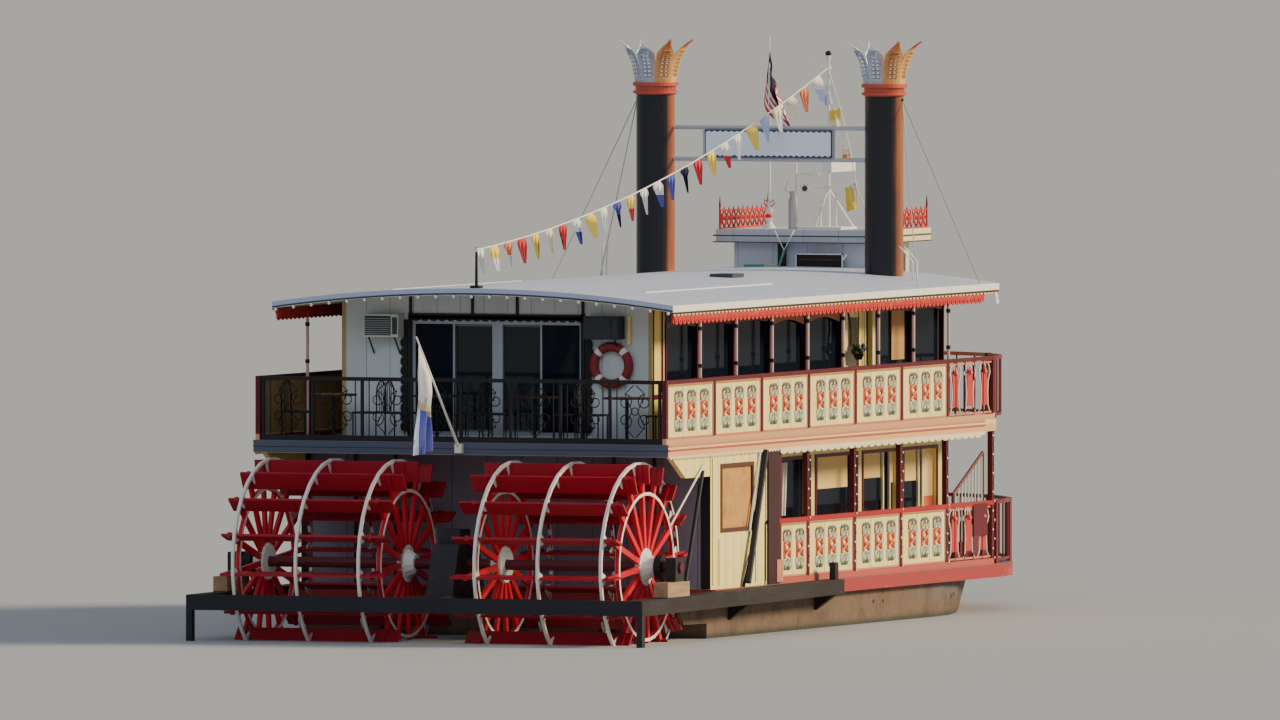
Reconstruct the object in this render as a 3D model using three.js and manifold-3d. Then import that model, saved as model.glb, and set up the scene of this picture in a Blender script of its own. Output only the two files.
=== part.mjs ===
// Sternwheel paddle boat, two decks, two paddle wheels side by side.
// Millimetres, +X forward, +Y port, +Z up. The origin is the middle of the footprint on the floor
// that the flat hull bottom stands on. Sizes below are given from the upper deck's aft edge (X)
// and from the water line (Z); the outer group moves them to that origin.
import * as THREE from 'three';
import Module from 'manifold-3d';

const wasm = await Module();
wasm.setup();
const { Manifold, Mesh: ManifoldMesh } = wasm;

// Named sizes
const GAP = 0.4;               // between pieces that sit on each other

// hull and main deck
const DRAFT = 850;             // flat bottom below the water line
const TRANSOM_X = 1950;
const HULL_HALF = 3490;
const HULL_TOP = 570;
const DECK1_TOP = 790;
const DECK1_HALF = 3650;
const DECK1_STRAIGHT_X = 14500;
const BOW_TIP_X = 18200;

// timber guard round the wheels
const GUARD_IN = DECK1_HALF + GAP;
const GUARD_OUT = 3950;
const GUARD_LO = 500;          // at its aft end; both rise a little forward
const GUARD_TOP = 745;
const GUARD_LO_FWD = 560;
const GUARD_TOP_FWD = 800;
const GUARD_AFT_X = -1985;
const GUARD_FWD_X = 6850;

// paddle wheels
const AXLE_X = -210;
const AXLE_Z = 1230;
const WHEEL_R = 1680;
const RING_R = 1190;
const WHEEL_IN = 580;          // innermost paddle end
const WHEEL_OUT = 3420;        // outermost paddle end
const ARM_IN = 840;
const ARM_OUT = 3285;
const ARMS = 16;
const ARM_TURN = -5.6;         // degrees that the arms are turned at rest, the aft one downwards
const HOOPS = [3185, 2095, 1005];
const HOOP = 48;               // the hoops' section, square
const SHAFT_R = 85;
const BORE_R = 86.2;            // 24-sided, clears the shaft by 0.4

// upper deck
const DECK2_LO = 2980;
const DECK2_TOP = 3180;
const DECK2_HALF = 3600;
const DECK2_STRAIGHT_X = 14000;
const DECK2_TIP_X = 17300;

// rails
const RAIL1_TOP = 1835;
const RAIL2_TOP = 4210;
const BAY = 2070;              // spacing of the rail posts

// engine room and cabins
const ENGINE_ROOM_HALF = 3560;
const ENGINE_ROOM_FWD_X = 4900;
const CABIN_HALF = 2700;
const CABIN_WALL = 70;
const CABIN_FWD_X = 14500;
const CABIN2_AFT_X = 1580;

// roof
const ROOF_AFT_X = 510;
const ROOF_FWD_X = 15000;
const ROOF_HALF = 3484;
const ROOF_THICK = 110;
const EAVE = 5400;
const CROWN = 5645;
const ROOF_LO = EAVE - ROOF_THICK;   // underside at the eave

// stacks
const STACK_X = 13520;
const STACK_Y = 2025;
const STACK_R = 320;
const STACK_TOP = 8640;
const CROWN_TOP = 9430;

// pilothouse
const PH_AFT_X = ROOF_FWD_X + GAP;
const PH_FWD_X = 16700;
const PH_HALF = 1220;
const PH_FLOOR = 3850;
const PH_WALL_TOP = 6030;
const PH_ROOF_TOP = 6250;

// Solids
function wood(color, roughness = 0.75, metalness = 0) {
  return new THREE.MeshStandardMaterial({ color, roughness, metalness });
}
const MAT = {
  hull: wood(0x8a7a63, 0.8, 0.2),
  salmon: wood(0xb5564b),
  timber: wood(0x3a2e28, 0.9),
  tan: wood(0xa98a62, 0.85),
  dark: wood(0x26262c, 0.6, 0.4),
  cream: wood(0xefe3a6, 0.6),
  pale: wood(0xd9dccf, 0.6),
  maroon: wood(0x7c1f25, 0.55),
  red: wood(0xc41f24, 0.5),
  deckBlue: wood(0x3c4454, 0.7),
  roof: wood(0xa8b4cc, 0.6),
  black: wood(0x17181d, 0.45, 0.3),
  copper: wood(0xb06a55, 0.5, 0.4),
  steel: wood(0xb9bec4, 0.35, 0.8),
  white: wood(0xe9ebea, 0.5),
  glass: new THREE.MeshStandardMaterial({ color: 0x1d2a33, roughness: 0.08, metalness: 0 }),
};

function toManifold(geometry) {
  const g = geometry.index ? geometry.toNonIndexed() : geometry;
  const pos = g.getAttribute('position');
  const keys = new Map();
  const verts = [];
  const tris = [];
  for (let i = 0; i < pos.count; i += 3) {
    const t = [];
    for (let j = 0; j < 3; j += 1) {
      const p = [pos.getX(i + j), pos.getY(i + j), pos.getZ(i + j)];
      const key = p.map((v) => Math.round(v * 1e4)).join(',');
      if (!keys.has(key)) { keys.set(key, keys.size); verts.push(...p); }
      t.push(keys.get(key));
    }
    if (t[0] !== t[1] && t[1] !== t[2] && t[0] !== t[2]) tris.push(...t);
  }
  return new Manifold(new ManifoldMesh({
    numProp: 3,
    vertProperties: new Float32Array(verts),
    triVerts: new Uint32Array(tris),
  }));
}

function toGeometry(manifold) {
  const mesh = manifold.getMesh();
  const out = new Float32Array(mesh.triVerts.length * 3);
  for (let i = 0; i < mesh.triVerts.length; i += 1) {
    const v = mesh.triVerts[i] * mesh.numProp;
    out.set([mesh.vertProperties[v], mesh.vertProperties[v + 1], mesh.vertProperties[v + 2]], i * 3);
  }
  const g = new THREE.BufferGeometry();
  g.setAttribute('position', new THREE.BufferAttribute(out, 3));
  g.computeVertexNormals();
  return g;
}

const join = (...parts) => parts.flat().reduce((a, b) => a.add(b));
const cut = (body, ...tools) => tools.flat().reduce((a, b) => a.subtract(b), body);

// a box from its two corners
function box(x0, x1, y0, y1, z0, z1) {
  const g = new THREE.BoxGeometry(x1 - x0, y1 - y0, z1 - z0);
  g.translate((x0 + x1) / 2, (y0 + y1) / 2, (z0 + z1) / 2);
  return toManifold(g);
}

// a round bar between two points, r1 at the first point and r2 at the second
function bar(a, b, r1, r2 = r1, sides = 8, turn = 0) {
  const from = new THREE.Vector3(...a);
  const to = new THREE.Vector3(...b);
  const length = from.distanceTo(to);
  const g = new THREE.CylinderGeometry(r2, r1, length, sides, 1, false, turn);
  g.translate(0, length / 2, 0);
  const along = to.clone().sub(from).normalize();
  g.applyQuaternion(new THREE.Quaternion().setFromUnitVectors(new THREE.Vector3(0, 1, 0), along));
  g.translate(...a);
  return toManifold(g);
}

// a flat outline in plan, from z0 to z1
function plan(points, z0, z1) {
  const shape = new THREE.Shape(points.map(([x, y]) => new THREE.Vector2(x, y)));
  const g = new THREE.ExtrudeGeometry(shape, { depth: z1 - z0, bevelEnabled: false, steps: 1 });
  g.translate(0, 0, z0);
  return toManifold(g);
}

// an outline in the X-Z plane, from y0 to y1
function side(points, y0, y1) {
  const shape = new THREE.Shape(points.map(([x, z]) => new THREE.Vector2(x, z)));
  const g = new THREE.ExtrudeGeometry(shape, { depth: y1 - y0, bevelEnabled: false, steps: 1 });
  g.rotateX(Math.PI / 2);
  g.translate(0, y1, 0);
  return toManifold(g);
}

// an outline in the Y-Z plane, from x0 to x1
function section(points, x0, x1) {
  const shape = new THREE.Shape(points.map(([y, z]) => new THREE.Vector2(y, z)));
  const g = new THREE.ExtrudeGeometry(shape, { depth: x1 - x0, bevelEnabled: false, steps: 1 });
  g.rotateX(Math.PI / 2);
  g.rotateZ(Math.PI / 2);
  g.translate(x0, 0, 0);
  return toManifold(g);
}

// plan outline: square stern at x0, straight sides, half-ellipse bow
function deckOutline(x0, xs, tip, half, n = 20) {
  const pts = [[x0, -half]];
  for (let i = 0; i <= n; i += 1) {
    const a = -Math.PI / 2 + (Math.PI * i) / n;
    pts.push([xs + (tip - xs) * Math.cos(a), half * Math.sin(a)]);
  }
  pts.push([x0, half]);
  return pts;
}

// a closed skin through outlines that have the same number of points, lowest first
function loft(rings) {
  const n = rings[0].length;
  const tri = [];
  const push = (...p) => p.forEach((q) => tri.push(...q));
  for (let k = 0; k + 1 < rings.length; k += 1) {
    for (let i = 0; i < n; i += 1) {
      const j = (i + 1) % n;
      push(rings[k][i], rings[k][j], rings[k + 1][j]);
      push(rings[k][i], rings[k + 1][j], rings[k + 1][i]);
    }
  }
  const caps = (ring, up) => {
    const faces = THREE.ShapeUtils.triangulateShape(ring.map((p) => new THREE.Vector2(p[0], p[1])), []);
    faces.forEach(([a, b, c]) => (up ? push(ring[a], ring[b], ring[c]) : push(ring[a], ring[c], ring[b])));
  };
  caps(rings[0], false);
  caps(rings[rings.length - 1], true);
  const g = new THREE.BufferGeometry();
  g.setAttribute('position', new THREE.BufferAttribute(new Float32Array(tri), 3));
  return toManifold(g);
}

const mirror = (m) => m.mirror([0, 1, 0]);

// Scene graph
const boat = new THREE.Group();
boat.name = 'paddle_boat';
const frame = new THREE.Group();
frame.position.set(-(GUARD_AFT_X + BOW_TIP_X) / 2, 0, DRAFT);
boat.add(frame);

function add(name, solid, material, at = [0, 0, 0]) {
  const mesh = new THREE.Mesh(toGeometry(solid), material);
  mesh.name = name;
  mesh.position.set(...at);
  frame.add(mesh);
}
// the same solid on both sides; the given one is the starboard side's
function addPair(name, solid, material) {
  add(`${name}_starboard`, solid, material);
  add(`${name}_port`, mirror(solid), material);
}

// Hull
function hullRing(xs, tip, half, z, x0 = TRANSOM_X) {
  return deckOutline(x0, xs, tip, half, 16).map(([x, y]) => [x, y, z]);
}
const RUDDER_X = TRANSOM_X - 120;
const RUDDER_Y = 1900;
const RUDDER_R = 45;
const GUDGEON_BORE_R = RUDDER_R + 2 * GAP;
// the side planking runs on aft past the transom, beside the wheels
const LEDGE_THICK = 58;
const INTO_HULL = 60;          // how far the ledge and the gudgeons run into the hull to join it
const sideLedge = side([
  [850, 420],
  [960, 260],
  [TRANSOM_X + INTO_HULL, 245],
  [TRANSOM_X + INTO_HULL, 500],
  [830, 500],
], -HULL_HALF, -HULL_HALF + LEDGE_THICK);
const GUDGEON = { half: 75, height: 60, floors: [225, 345] };
function gudgeons(y) {
  const { half, height, floors } = GUDGEON;
  return floors.map((z) => box(RUDDER_X - half, TRANSOM_X + INTO_HULL, y - half, y + half, z, z + height));
}
const rudderBore = (y) => bar([RUDDER_X, y, 190], [RUDDER_X, y, 450], GUDGEON_BORE_R, GUDGEON_BORE_R, 24);
const hullSkin = loft([
  // start of the bow's curve, stem, half width, height, stern
  hullRing(10800, 14200, 3240, -DRAFT, 2900),
  hullRing(11500, 15500, 3420, -450),
  hullRing(12200, 16400, HULL_HALF, 60),
  hullRing(12500, 16850, HULL_HALF, HULL_TOP),
]);
add('hull', cut(
  join(hullSkin, gudgeons(-RUDDER_Y), gudgeons(RUDDER_Y), sideLedge, mirror(sideLedge)),
  rudderBore(-RUDDER_Y),
  rudderBore(RUDDER_Y),
), MAT.hull);

const mainDeckOutline = deckOutline(TRANSOM_X, DECK1_STRAIGHT_X, BOW_TIP_X, DECK1_HALF);
add('main_deck', plan(mainDeckOutline, HULL_TOP + GAP, DECK1_TOP), MAT.salmon);

// timber guard: two side beams, a beam across behind the wheels, a middle beam, knees and end posts
const GUARD_RISE = (GUARD_LO_FWD - GUARD_LO) / (GUARD_FWD_X - GUARD_AFT_X);
const guardLoAt = (x) => GUARD_LO + GUARD_RISE * (x - GUARD_AFT_X);
const CROSS_BEAM = 150;
const MIDDLE_BEAM_HALF = 280;
const KNEE = { reach: 3860, drop: 265, thick: 130, into: 8 };
const knee = (x) => section([
  [-KNEE.reach, guardLoAt(x) + KNEE.into],
  [-HULL_HALF - GAP, guardLoAt(x) - KNEE.drop],
  [-HULL_HALF - GAP, guardLoAt(x) + KNEE.into],
], x, x + KNEE.thick);
const BEARING_TOP = 1000;
const BORE_END = 4000;
const axleBore = bar(
  [AXLE_X, -BORE_END, AXLE_Z], [AXLE_X, BORE_END, AXLE_Z],
  BORE_R, BORE_R, 24, Math.PI / 24,
);
const guardSide = [
  side([
    [GUARD_AFT_X, GUARD_LO],
    [GUARD_FWD_X, GUARD_LO_FWD],
    [GUARD_FWD_X, GUARD_TOP_FWD],
    [GUARD_AFT_X, GUARD_TOP],
  ], -GUARD_OUT, -GUARD_IN),
  knee(2880), knee(GUARD_FWD_X - 170),
  box(GUARD_AFT_X, GUARD_AFT_X + 130, -GUARD_OUT, -GUARD_OUT + 100, -430, GUARD_TOP),
  box(GUARD_FWD_X - 210, GUARD_FWD_X - 60, -3870, -3770, GUARD_TOP, GUARD_TOP + 330),
  box(AXLE_X - 650, AXLE_X + 290, -3945, -3700, GUARD_LO + 50, BEARING_TOP),
  box(AXLE_X - 180, AXLE_X + 180, -3890, -3720, BEARING_TOP - 5, AXLE_Z + 150),
];
add('wheel_guard_frame', cut(join(
  guardSide, guardSide.map(mirror),
  box(GUARD_AFT_X, GUARD_AFT_X + CROSS_BEAM, -GUARD_OUT + 10, GUARD_OUT - 10, GUARD_LO, GUARD_TOP),
  box(GUARD_AFT_X + 100, TRANSOM_X - GAP, -MIDDLE_BEAM_HALF, MIDDLE_BEAM_HALF, GUARD_LO, GUARD_TOP),
), axleBore), MAT.timber);

const STAND = { half: 230, top: AXLE_Z + 330, capTop: AXLE_Z + 560 };
add('centre_bearing_stand', cut(join(
  side([
    [-900, GUARD_TOP + GAP],
    [500, GUARD_TOP + GAP],
    [240, STAND.top],
    [-620, STAND.top],
  ], -STAND.half, STAND.half),
  box(-420, 20, -170, 170, STAND.top - 30, STAND.capTop),
), axleBore), MAT.dark);

// Paddle wheels
// built about the axle and placed on it; the given one is the starboard wheel
function ringAcross(y, rOut, rIn, width, sides) {
  return cut(
    bar([0, y - width / 2, 0], [0, y + width / 2, 0], rOut, rOut, sides),
    bar([0, y - width, 0], [0, y + width, 0], rIn, rIn, sides),
  );
}
function paddleWheel() {
  const shaft = bar([0, -3930, 0], [0, -40, 0], SHAFT_R, SHAFT_R, 12);
  const parts = [
    bar([0, -ARM_OUT - 190, 0], [0, -ARM_OUT + 60, 0], 130, 290, 12),
    bar([0, -ARM_IN - 60, 0], [0, -ARM_IN + 170, 0], 290, 150, 12),
    HOOPS.map((y) => ringAcross(-y, WHEEL_R, WHEEL_R - HOOP, HOOP, 32)),
    [ARM_OUT, ARM_IN].map((y) => ringAcross(-y, RING_R + 12, RING_R - 40, 72, 32)),
  ];
  for (let i = 0; i < ARMS; i += 1) {
    const spin = (m) => m.rotate([0, (360 * i) / ARMS, 0]);
    parts.push(spin(box(-45, 45, -ARM_OUT - 30, -ARM_OUT + 30, 60, WHEEL_R - 30)));
    parts.push(spin(box(-45, 45, -ARM_IN - 30, -ARM_IN + 30, 60, WHEEL_R - 30)));
    parts.push(spin(box(-20, 20, -WHEEL_OUT, -WHEEL_IN, WHEEL_R - 330, WHEEL_R - 30)));
  }
  return join(shaft, join(parts.flat()).rotate([0, ARM_TURN, 0]));
}
const wheel = paddleWheel();
add('paddle_wheel_starboard', wheel, MAT.red, [AXLE_X, 0, AXLE_Z]);
add('paddle_wheel_port', mirror(wheel), MAT.red, [AXLE_X, 0, AXLE_Z]);

// rudders ahead of the wheels, hung on the transom
const rudder = join(
  bar([0, 0, -720], [0, 0, 440], RUDDER_R, RUDDER_R, 12),
  side([[-660, -700], [60, -700], [60, 180], [-560, 180]], -22, 22),
);
add('rudder_starboard', rudder, MAT.dark, [RUDDER_X, -RUDDER_Y, 0]);
add('rudder_port', rudder, MAT.dark, [RUDDER_X, RUDDER_Y, 0]);

// Engine room
add('engine_block', box(2600, 4500, -1100, 1100, DECK1_TOP + GAP, 2150), MAT.dark);

const ENGINE_WALL = 84;
const insideHalf = ENGINE_ROOM_HALF - ENGINE_WALL;
const W1 = DECK1_TOP + GAP;     // foot and head of what stands on the main deck
const HEAD1 = DECK2_LO - GAP;
const bulkheadHalf = insideHalf - GAP;
add('engine_room_aft_wall', box(TRANSOM_X, TRANSOM_X + 80, -bulkheadHalf, bulkheadHalf, W1, HEAD1), MAT.deckBlue);

// the side wall's upper part runs on aft over the wheel
const UPPER_PART_LO = 2620;
const engineSide = cut(join(
  side([
    [TRANSOM_X, W1],
    [ENGINE_ROOM_FWD_X, W1],
    [ENGINE_ROOM_FWD_X, HEAD1],
    [230, HEAD1],
    [870, UPPER_PART_LO],
    [TRANSOM_X, UPPER_PART_LO],
  ], -ENGINE_ROOM_HALF, -insideHalf),
  box(ENGINE_ROOM_FWD_X - 80, ENGINE_ROOM_FWD_X, -ENGINE_ROOM_HALF, -CABIN_HALF + CABIN_WALL, W1, HEAD1),
), box(2370, 3830, -3700, -3400, 1700, 2800));
addPair('engine_room_side', engineSide, MAT.cream);

// Main cabin
const WIN1 = [1750, 2700];     // sill and head of the main cabin's windows
const mainWindows = [
  // from, to (X)
  [5350, 6350], [6650, 8450], [8750, 10550], [10850, 12350], [12650, 14150],
];
const WALL_OUT = -CABIN_HALF;   // outer and inner face of the starboard side wall
const WALL_IN = -CABIN_HALF + CABIN_WALL;
const THROUGH = 50;            // how far a cutter reaches past a wall
const GLASS_IN = WALL_IN + 12;
// a cutter for an opening in the starboard side wall
const sideOpening = (x0, x1, z0, z1) => box(x0, x1, WALL_OUT - THROUGH, WALL_IN + THROUGH, z0, z1);
addPair('main_cabin_side', cut(
  box(ENGINE_ROOM_FWD_X + GAP, CABIN_FWD_X, WALL_OUT, WALL_IN, W1, HEAD1),
  mainWindows.map(([a, b]) => sideOpening(a, b, WIN1[0], WIN1[1])),
), MAT.cream);
const LAP = 60;                // how far the glass laps over a wall round its windows
addPair('main_cabin_glass', box(
  ENGINE_ROOM_FWD_X + 300, CABIN_FWD_X - 200,
  WALL_IN + GAP, GLASS_IN,
  WIN1[0] - LAP, WIN1[1] + LAP,
), MAT.glass);
add('main_cabin_forward_wall', cut(
  box(CABIN_FWD_X - CABIN_WALL, CABIN_FWD_X, WALL_IN + GAP, -WALL_IN - GAP, W1, HEAD1),
  box(CABIN_FWD_X - 200, CABIN_FWD_X + 100, -810, 810, DECK1_TOP + 40, 2800),
  [-1700, 1700].map((y) => box(CABIN_FWD_X - 200, CABIN_FWD_X + 100, y - 550, y + 550, WIN1[0], WIN1[1])),
), MAT.cream);
const leaf = join(
  cut(box(0, 45, 0, 796, DECK1_TOP + 50, 2790), box(-50, 100, 130, 666, 1650, 2600)),
  bar([34, 11, DECK1_TOP + 40 + GAP], [34, 11, 2800 - GAP], 10, 10, 8),
);
add('main_door_starboard', leaf, MAT.maroon, [CABIN_FWD_X - 55, -802, 0]);
add('main_door_port', mirror(leaf), MAT.maroon, [CABIN_FWD_X - 55, 802, 0]);

// main deck rail: tall posts that carry the upper deck, rail and panels between them
const bayX = (k) => BAY * k + 10;
const mainPostX = [bayX(2) + 830, bayX(3), bayX(4), bayX(5), bayX(6), bayX(7)];
const RAIL_OUT = -3570;
const RAIL_IN = -3490;
const PANEL_OUT = -3545;
const PANEL_IN = -3515;
// the last bay has four balusters in place of a panel
function openBay(x0, z0, z1) {
  return [0.2, 0.4, 0.6, 0.8].map((part) => x0 + BAY * part)
    .map((x) => box(x - 15, x + 15, PANEL_OUT, PANEL_IN, z0, z1));
}
const mainRail = [
  ...mainPostX.map((x) => box(x - 50, x + 50, RAIL_OUT, RAIL_IN, W1, HEAD1)),
  box(mainPostX[0], mainPostX[5], RAIL_OUT, RAIL_IN, RAIL1_TOP - 70, RAIL1_TOP),
  box(mainPostX[0], mainPostX[5], RAIL_OUT, RAIL_IN, W1, DECK1_TOP + 90),
  box(mainPostX[0], mainPostX[4], PANEL_OUT, PANEL_IN, DECK1_TOP + 60, RAIL1_TOP - 60),
  ...openBay(mainPostX[4], DECK1_TOP + 60, RAIL1_TOP - 60),
];
addPair('main_rail', join(mainRail), MAT.maroon);

// rail round the bow, with the closed end of the landing place
// a flat band that follows the bow outline, w wide
function band(xs, tip, half, w, z0, z1, n) {
  const outer = deckOutline(xs, xs, tip + w / 2, half + w / 2, n).slice(1, -1);
  const inner = deckOutline(xs, xs, tip - w / 2, half - w / 2, n).slice(1, -1).reverse();
  return plan([...outer, ...inner], z0, z1);
}
function curvedRail(xs, tip, half, z0, z1, n, posts) {
  const parts = [band(xs, tip, half, 60, z1 - 60, z1, n), band(xs, tip, half, 40, z0 + 40, z0 + 90, n)];
  deckOutline(xs, xs, tip, half, n).slice(1, -1).forEach(([x, y], i) => {
    if (i % posts === 0) parts.push(box(x - 45, x + 45, y - 45, y + 45, z0, z1 + 5));
    else parts.push(box(x - 12, x + 12, y - 12, y + 12, z0 + 60, z1 - 30));
  });
  return join(parts);
}
add('bow_rail', curvedRail(DECK1_STRAIGHT_X + 190, BOW_TIP_X - 110, 3530, W1, RAIL1_TOP, 24, 3), MAT.maroon);

// boarding steps inside the bow rail, starboard side
const STEP = { x: 14950, y0: -2700, y1: -1900, rise: 160, run: 300, n: 5 };
const steps = [];
for (let i = 0; i < STEP.n; i += 1) {
  const x = STEP.x + i * STEP.run;
  steps.push(box(x, x + STEP.run + 10, STEP.y0, STEP.y1, W1, DECK1_TOP + (i + 1) * STEP.rise));
}
for (const y of [STEP.y0 + 40, STEP.y1 - 40]) {
  steps.push(bar([STEP.x + 60, y, 1900], [STEP.x + 1420, y, 2560], 28, 28, 6));
  steps.push(bar([STEP.x + 60, y, 800], [STEP.x + 60, y, 1900], 28, 28, 6));
  steps.push(bar([STEP.x + 1420, y, 1400], [STEP.x + 1420, y, 2560], 28, 28, 6));
}
add('bow_steps', join(steps), MAT.maroon);

// Upper deck
const upperDeckOutline = deckOutline(0, DECK2_STRAIGHT_X, DECK2_TIP_X, DECK2_HALF);
add('upper_deck', plan(upperDeckOutline, DECK2_LO, DECK2_TOP), MAT.deckBlue);

const W2 = DECK2_TOP + GAP;
const upperPostX = [0, 1, 2, 3, 4, 5, 6, 7].map(bayX).map((x) => x + 45);
const upperRail = [
  ...upperPostX.map((x) => box(x - 40, x + 40, RAIL_OUT, RAIL_IN, W2, RAIL2_TOP)),
  box(upperPostX[0], upperPostX[7], RAIL_OUT, RAIL_IN, RAIL2_TOP - 60, RAIL2_TOP),
  box(upperPostX[0], upperPostX[7], RAIL_OUT, RAIL_IN, W2, DECK2_TOP + 80),
  box(upperPostX[0], upperPostX[6], PANEL_OUT, PANEL_IN, DECK2_TOP + 60, RAIL2_TOP - 50),
  ...openBay(upperPostX[6], DECK2_TOP + 60, RAIL2_TOP - 50),
];
addPair('upper_rail', join(upperRail), MAT.maroon);

const aftRail = [
  box(20, 75, -3480, 3480, RAIL2_TOP - 60, RAIL2_TOP),
  box(20, 75, -3480, 3480, W2, DECK2_TOP + 90),
];
for (let i = 0; i <= 8; i += 1) {
  const y = -3440 + (6880 * i) / 8;
  aftRail.push(box(25, 70, y - 22, y + 22, W2, RAIL2_TOP - 10));
}
add('upper_rail_aft', join(aftRail), MAT.black);
// it starts clear of the side rail's last post
const forwardRail = curvedRail(DECK2_STRAIGHT_X + 650, DECK2_TIP_X - 90, 3510, W2, RAIL2_TOP, 20, 4);
add('upper_rail_forward', forwardRail, MAT.maroon);

// Roof
// cambered: lower by the square of the distance from the middle
const camber = (y, z) => z - (CROWN - EAVE) * (y / ROOF_HALF) ** 2;
function camberLine(half, z, n = 12) {
  const points = [];
  for (let i = 0; i <= n; i += 1) {
    const y = -half + (2 * half * i) / n;
    points.push([y, camber(y, z)]);
  }
  return points;
}
add('roof', section([
  ...camberLine(ROOF_HALF, CROWN),
  ...camberLine(ROOF_HALF, CROWN - ROOF_THICK).reverse(),
], ROOF_AFT_X, ROOF_FWD_X), MAT.roof);
// walls stop short of the roof's underside, whose straight steps lie up to 1.7 mm below the curve
const WALL_HEAD = CROWN - ROOF_THICK - GAP - 1.8;
function endWall(x0, x1, half, floor) {
  return section([[-half, floor], ...camberLine(half, WALL_HEAD), [half, floor]], x0, x1);
}

// Upper cabin
const WIN2 = [3990, 5060];
const CABIN2_TOP = camber(CABIN_HALF, WALL_HEAD);
const MULLION = 1587;
const upperWindows = [];
for (let k = 0; k < 8; k += 1) {
  const a = 1960 + MULLION * k;
  if (k !== 5) upperWindows.push([k === 0 ? 2170 : a + 50, a + MULLION - 50]);
}
const SIDE_DOOR_X = 10080;
const SIDE_DOOR_HEAD = 5120;
addPair('upper_cabin_side', cut(
  box(CABIN2_AFT_X, CABIN_FWD_X, WALL_OUT, WALL_IN, W2, CABIN2_TOP),
  upperWindows.map(([a, b]) => sideOpening(a, Math.min(b, CABIN_FWD_X - 60), WIN2[0], WIN2[1])),
  sideOpening(SIDE_DOOR_X, SIDE_DOOR_X + 750, DECK2_TOP + 40, SIDE_DOOR_HEAD),
  sideOpening(10950, 11250, WIN2[0], WIN2[1]),
), MAT.cream);
const glass2 = cut(
  box(CABIN2_AFT_X + 400, CABIN_FWD_X - 100, WALL_IN + GAP, GLASS_IN, WIN2[0] - LAP, 5240),
  box(SIDE_DOOR_X - 60, SIDE_DOOR_X + 820, -2700, -2600, WIN2[0] - 100, 5140),
);
addPair('upper_cabin_glass', glass2, MAT.glass);
const sideLeaf = join(
  cut(box(-738, 0, 0, 45, DECK2_TOP + 50, 5112), box(-620, -120, -50, 100, 4100, 4950)),
  bar([-11, 34, DECK2_TOP + 40 + GAP], [-11, 34, SIDE_DOOR_HEAD - GAP], 10, 10, 8),
);
add('side_door_starboard', sideLeaf, MAT.cream, [SIDE_DOOR_X + 744, -CABIN_HALF + 10, 0]);
add('side_door_port', mirror(sideLeaf), MAT.cream, [SIDE_DOOR_X + 744, CABIN_HALF - 10, 0]);

const DOOR2 = { half: 1470, foot: DECK2_TOP + 60, head: 5080 };
add('upper_cabin_aft_wall', cut(
  endWall(CABIN2_AFT_X, CABIN2_AFT_X + CABIN_WALL, CABIN_HALF - CABIN_WALL - GAP, W2),
  box(CABIN2_AFT_X - THROUGH, CABIN2_AFT_X + 100, -DOOR2.half, DOOR2.half, DOOR2.foot, DOOR2.head),
), MAT.pale);
// two wide doorways either side of a middle post; the inner half of each has the sliding leaf, on runners
const SLIDE_LO = DECK2_TOP + 100;
const SLIDE_X = CABIN2_AFT_X + CABIN_WALL + 12;
const lites = [[90, 745], [775, 1430], [-745, -90], [-1430, -775]];   // from, to (Y)
const frameHalf = DOOR2.half - GAP;
add('aft_door_frame', cut(
  join(
    box(CABIN2_AFT_X + 20, CABIN2_AFT_X + 60, -frameHalf, frameHalf, DOOR2.foot + GAP, DOOR2.head - GAP),
    box(CABIN2_AFT_X + 30, SLIDE_X + 50, -frameHalf, frameHalf, DOOR2.foot + GAP, SLIDE_LO - GAP),
  ),
  lites.map(([a, b]) => box(CABIN2_AFT_X, CABIN2_AFT_X + 100, a, b, DOOR2.foot + 60, DOOR2.head - 45)),
), MAT.dark);
const slideLeaf = box(0, 40, -765, -70, SLIDE_LO, DOOR2.head - 30);
add('aft_door_starboard', slideLeaf, MAT.glass, [SLIDE_X, 0, 0]);
add('aft_door_port', mirror(slideLeaf), MAT.glass, [SLIDE_X, 0, 0]);

add('upper_cabin_forward_wall', cut(
  endWall(CABIN_FWD_X - CABIN_WALL, CABIN_FWD_X, CABIN_HALF - CABIN_WALL - GAP, W2),
  [-1350, 1350].map((y) => box(CABIN_FWD_X - 200, CABIN_FWD_X + 100, y - 950, y + 950, WIN2[0], WIN2[1])),
), MAT.cream);

// Eave posts
const eave = [box(600, 14400, -3450, -3420, 5110, ROOF_LO - GAP)];
for (let k = 0; k < 8; k += 1) {
  const x = 1850 + 1572 * k;
  eave.push(bar([x, -3420, W2], [x, -3420, 5200], 28, 28, 8));
}
addPair('eave_posts', join(eave), MAT.copper);

// Stacks
addPair('stack', cut(
  join(
    bar([STACK_X, -STACK_Y, 5400], [STACK_X, -STACK_Y, STACK_TOP], STACK_R, STACK_R, 24),
    bar([STACK_X, -STACK_Y, 8500], [STACK_X, -STACK_Y, STACK_TOP - 5], STACK_R + 20, STACK_R + 20, 24),
  ),
  section([
    ...camberLine(ROOF_HALF, CROWN + GAP),
    [ROOF_HALF, 4000],
    [-ROOF_HALF, 4000],
  ], STACK_X - 1000, STACK_X + 1000),
  bar([STACK_X, -STACK_Y, 6000], [STACK_X, -STACK_Y, STACK_TOP + 50], STACK_R - 12, STACK_R - 12, 24),
), MAT.black);

const petals = [bar([0, 0, STACK_TOP + GAP], [0, 0, STACK_TOP + 80], STACK_R + 10, STACK_R + 20, 16)];
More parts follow.
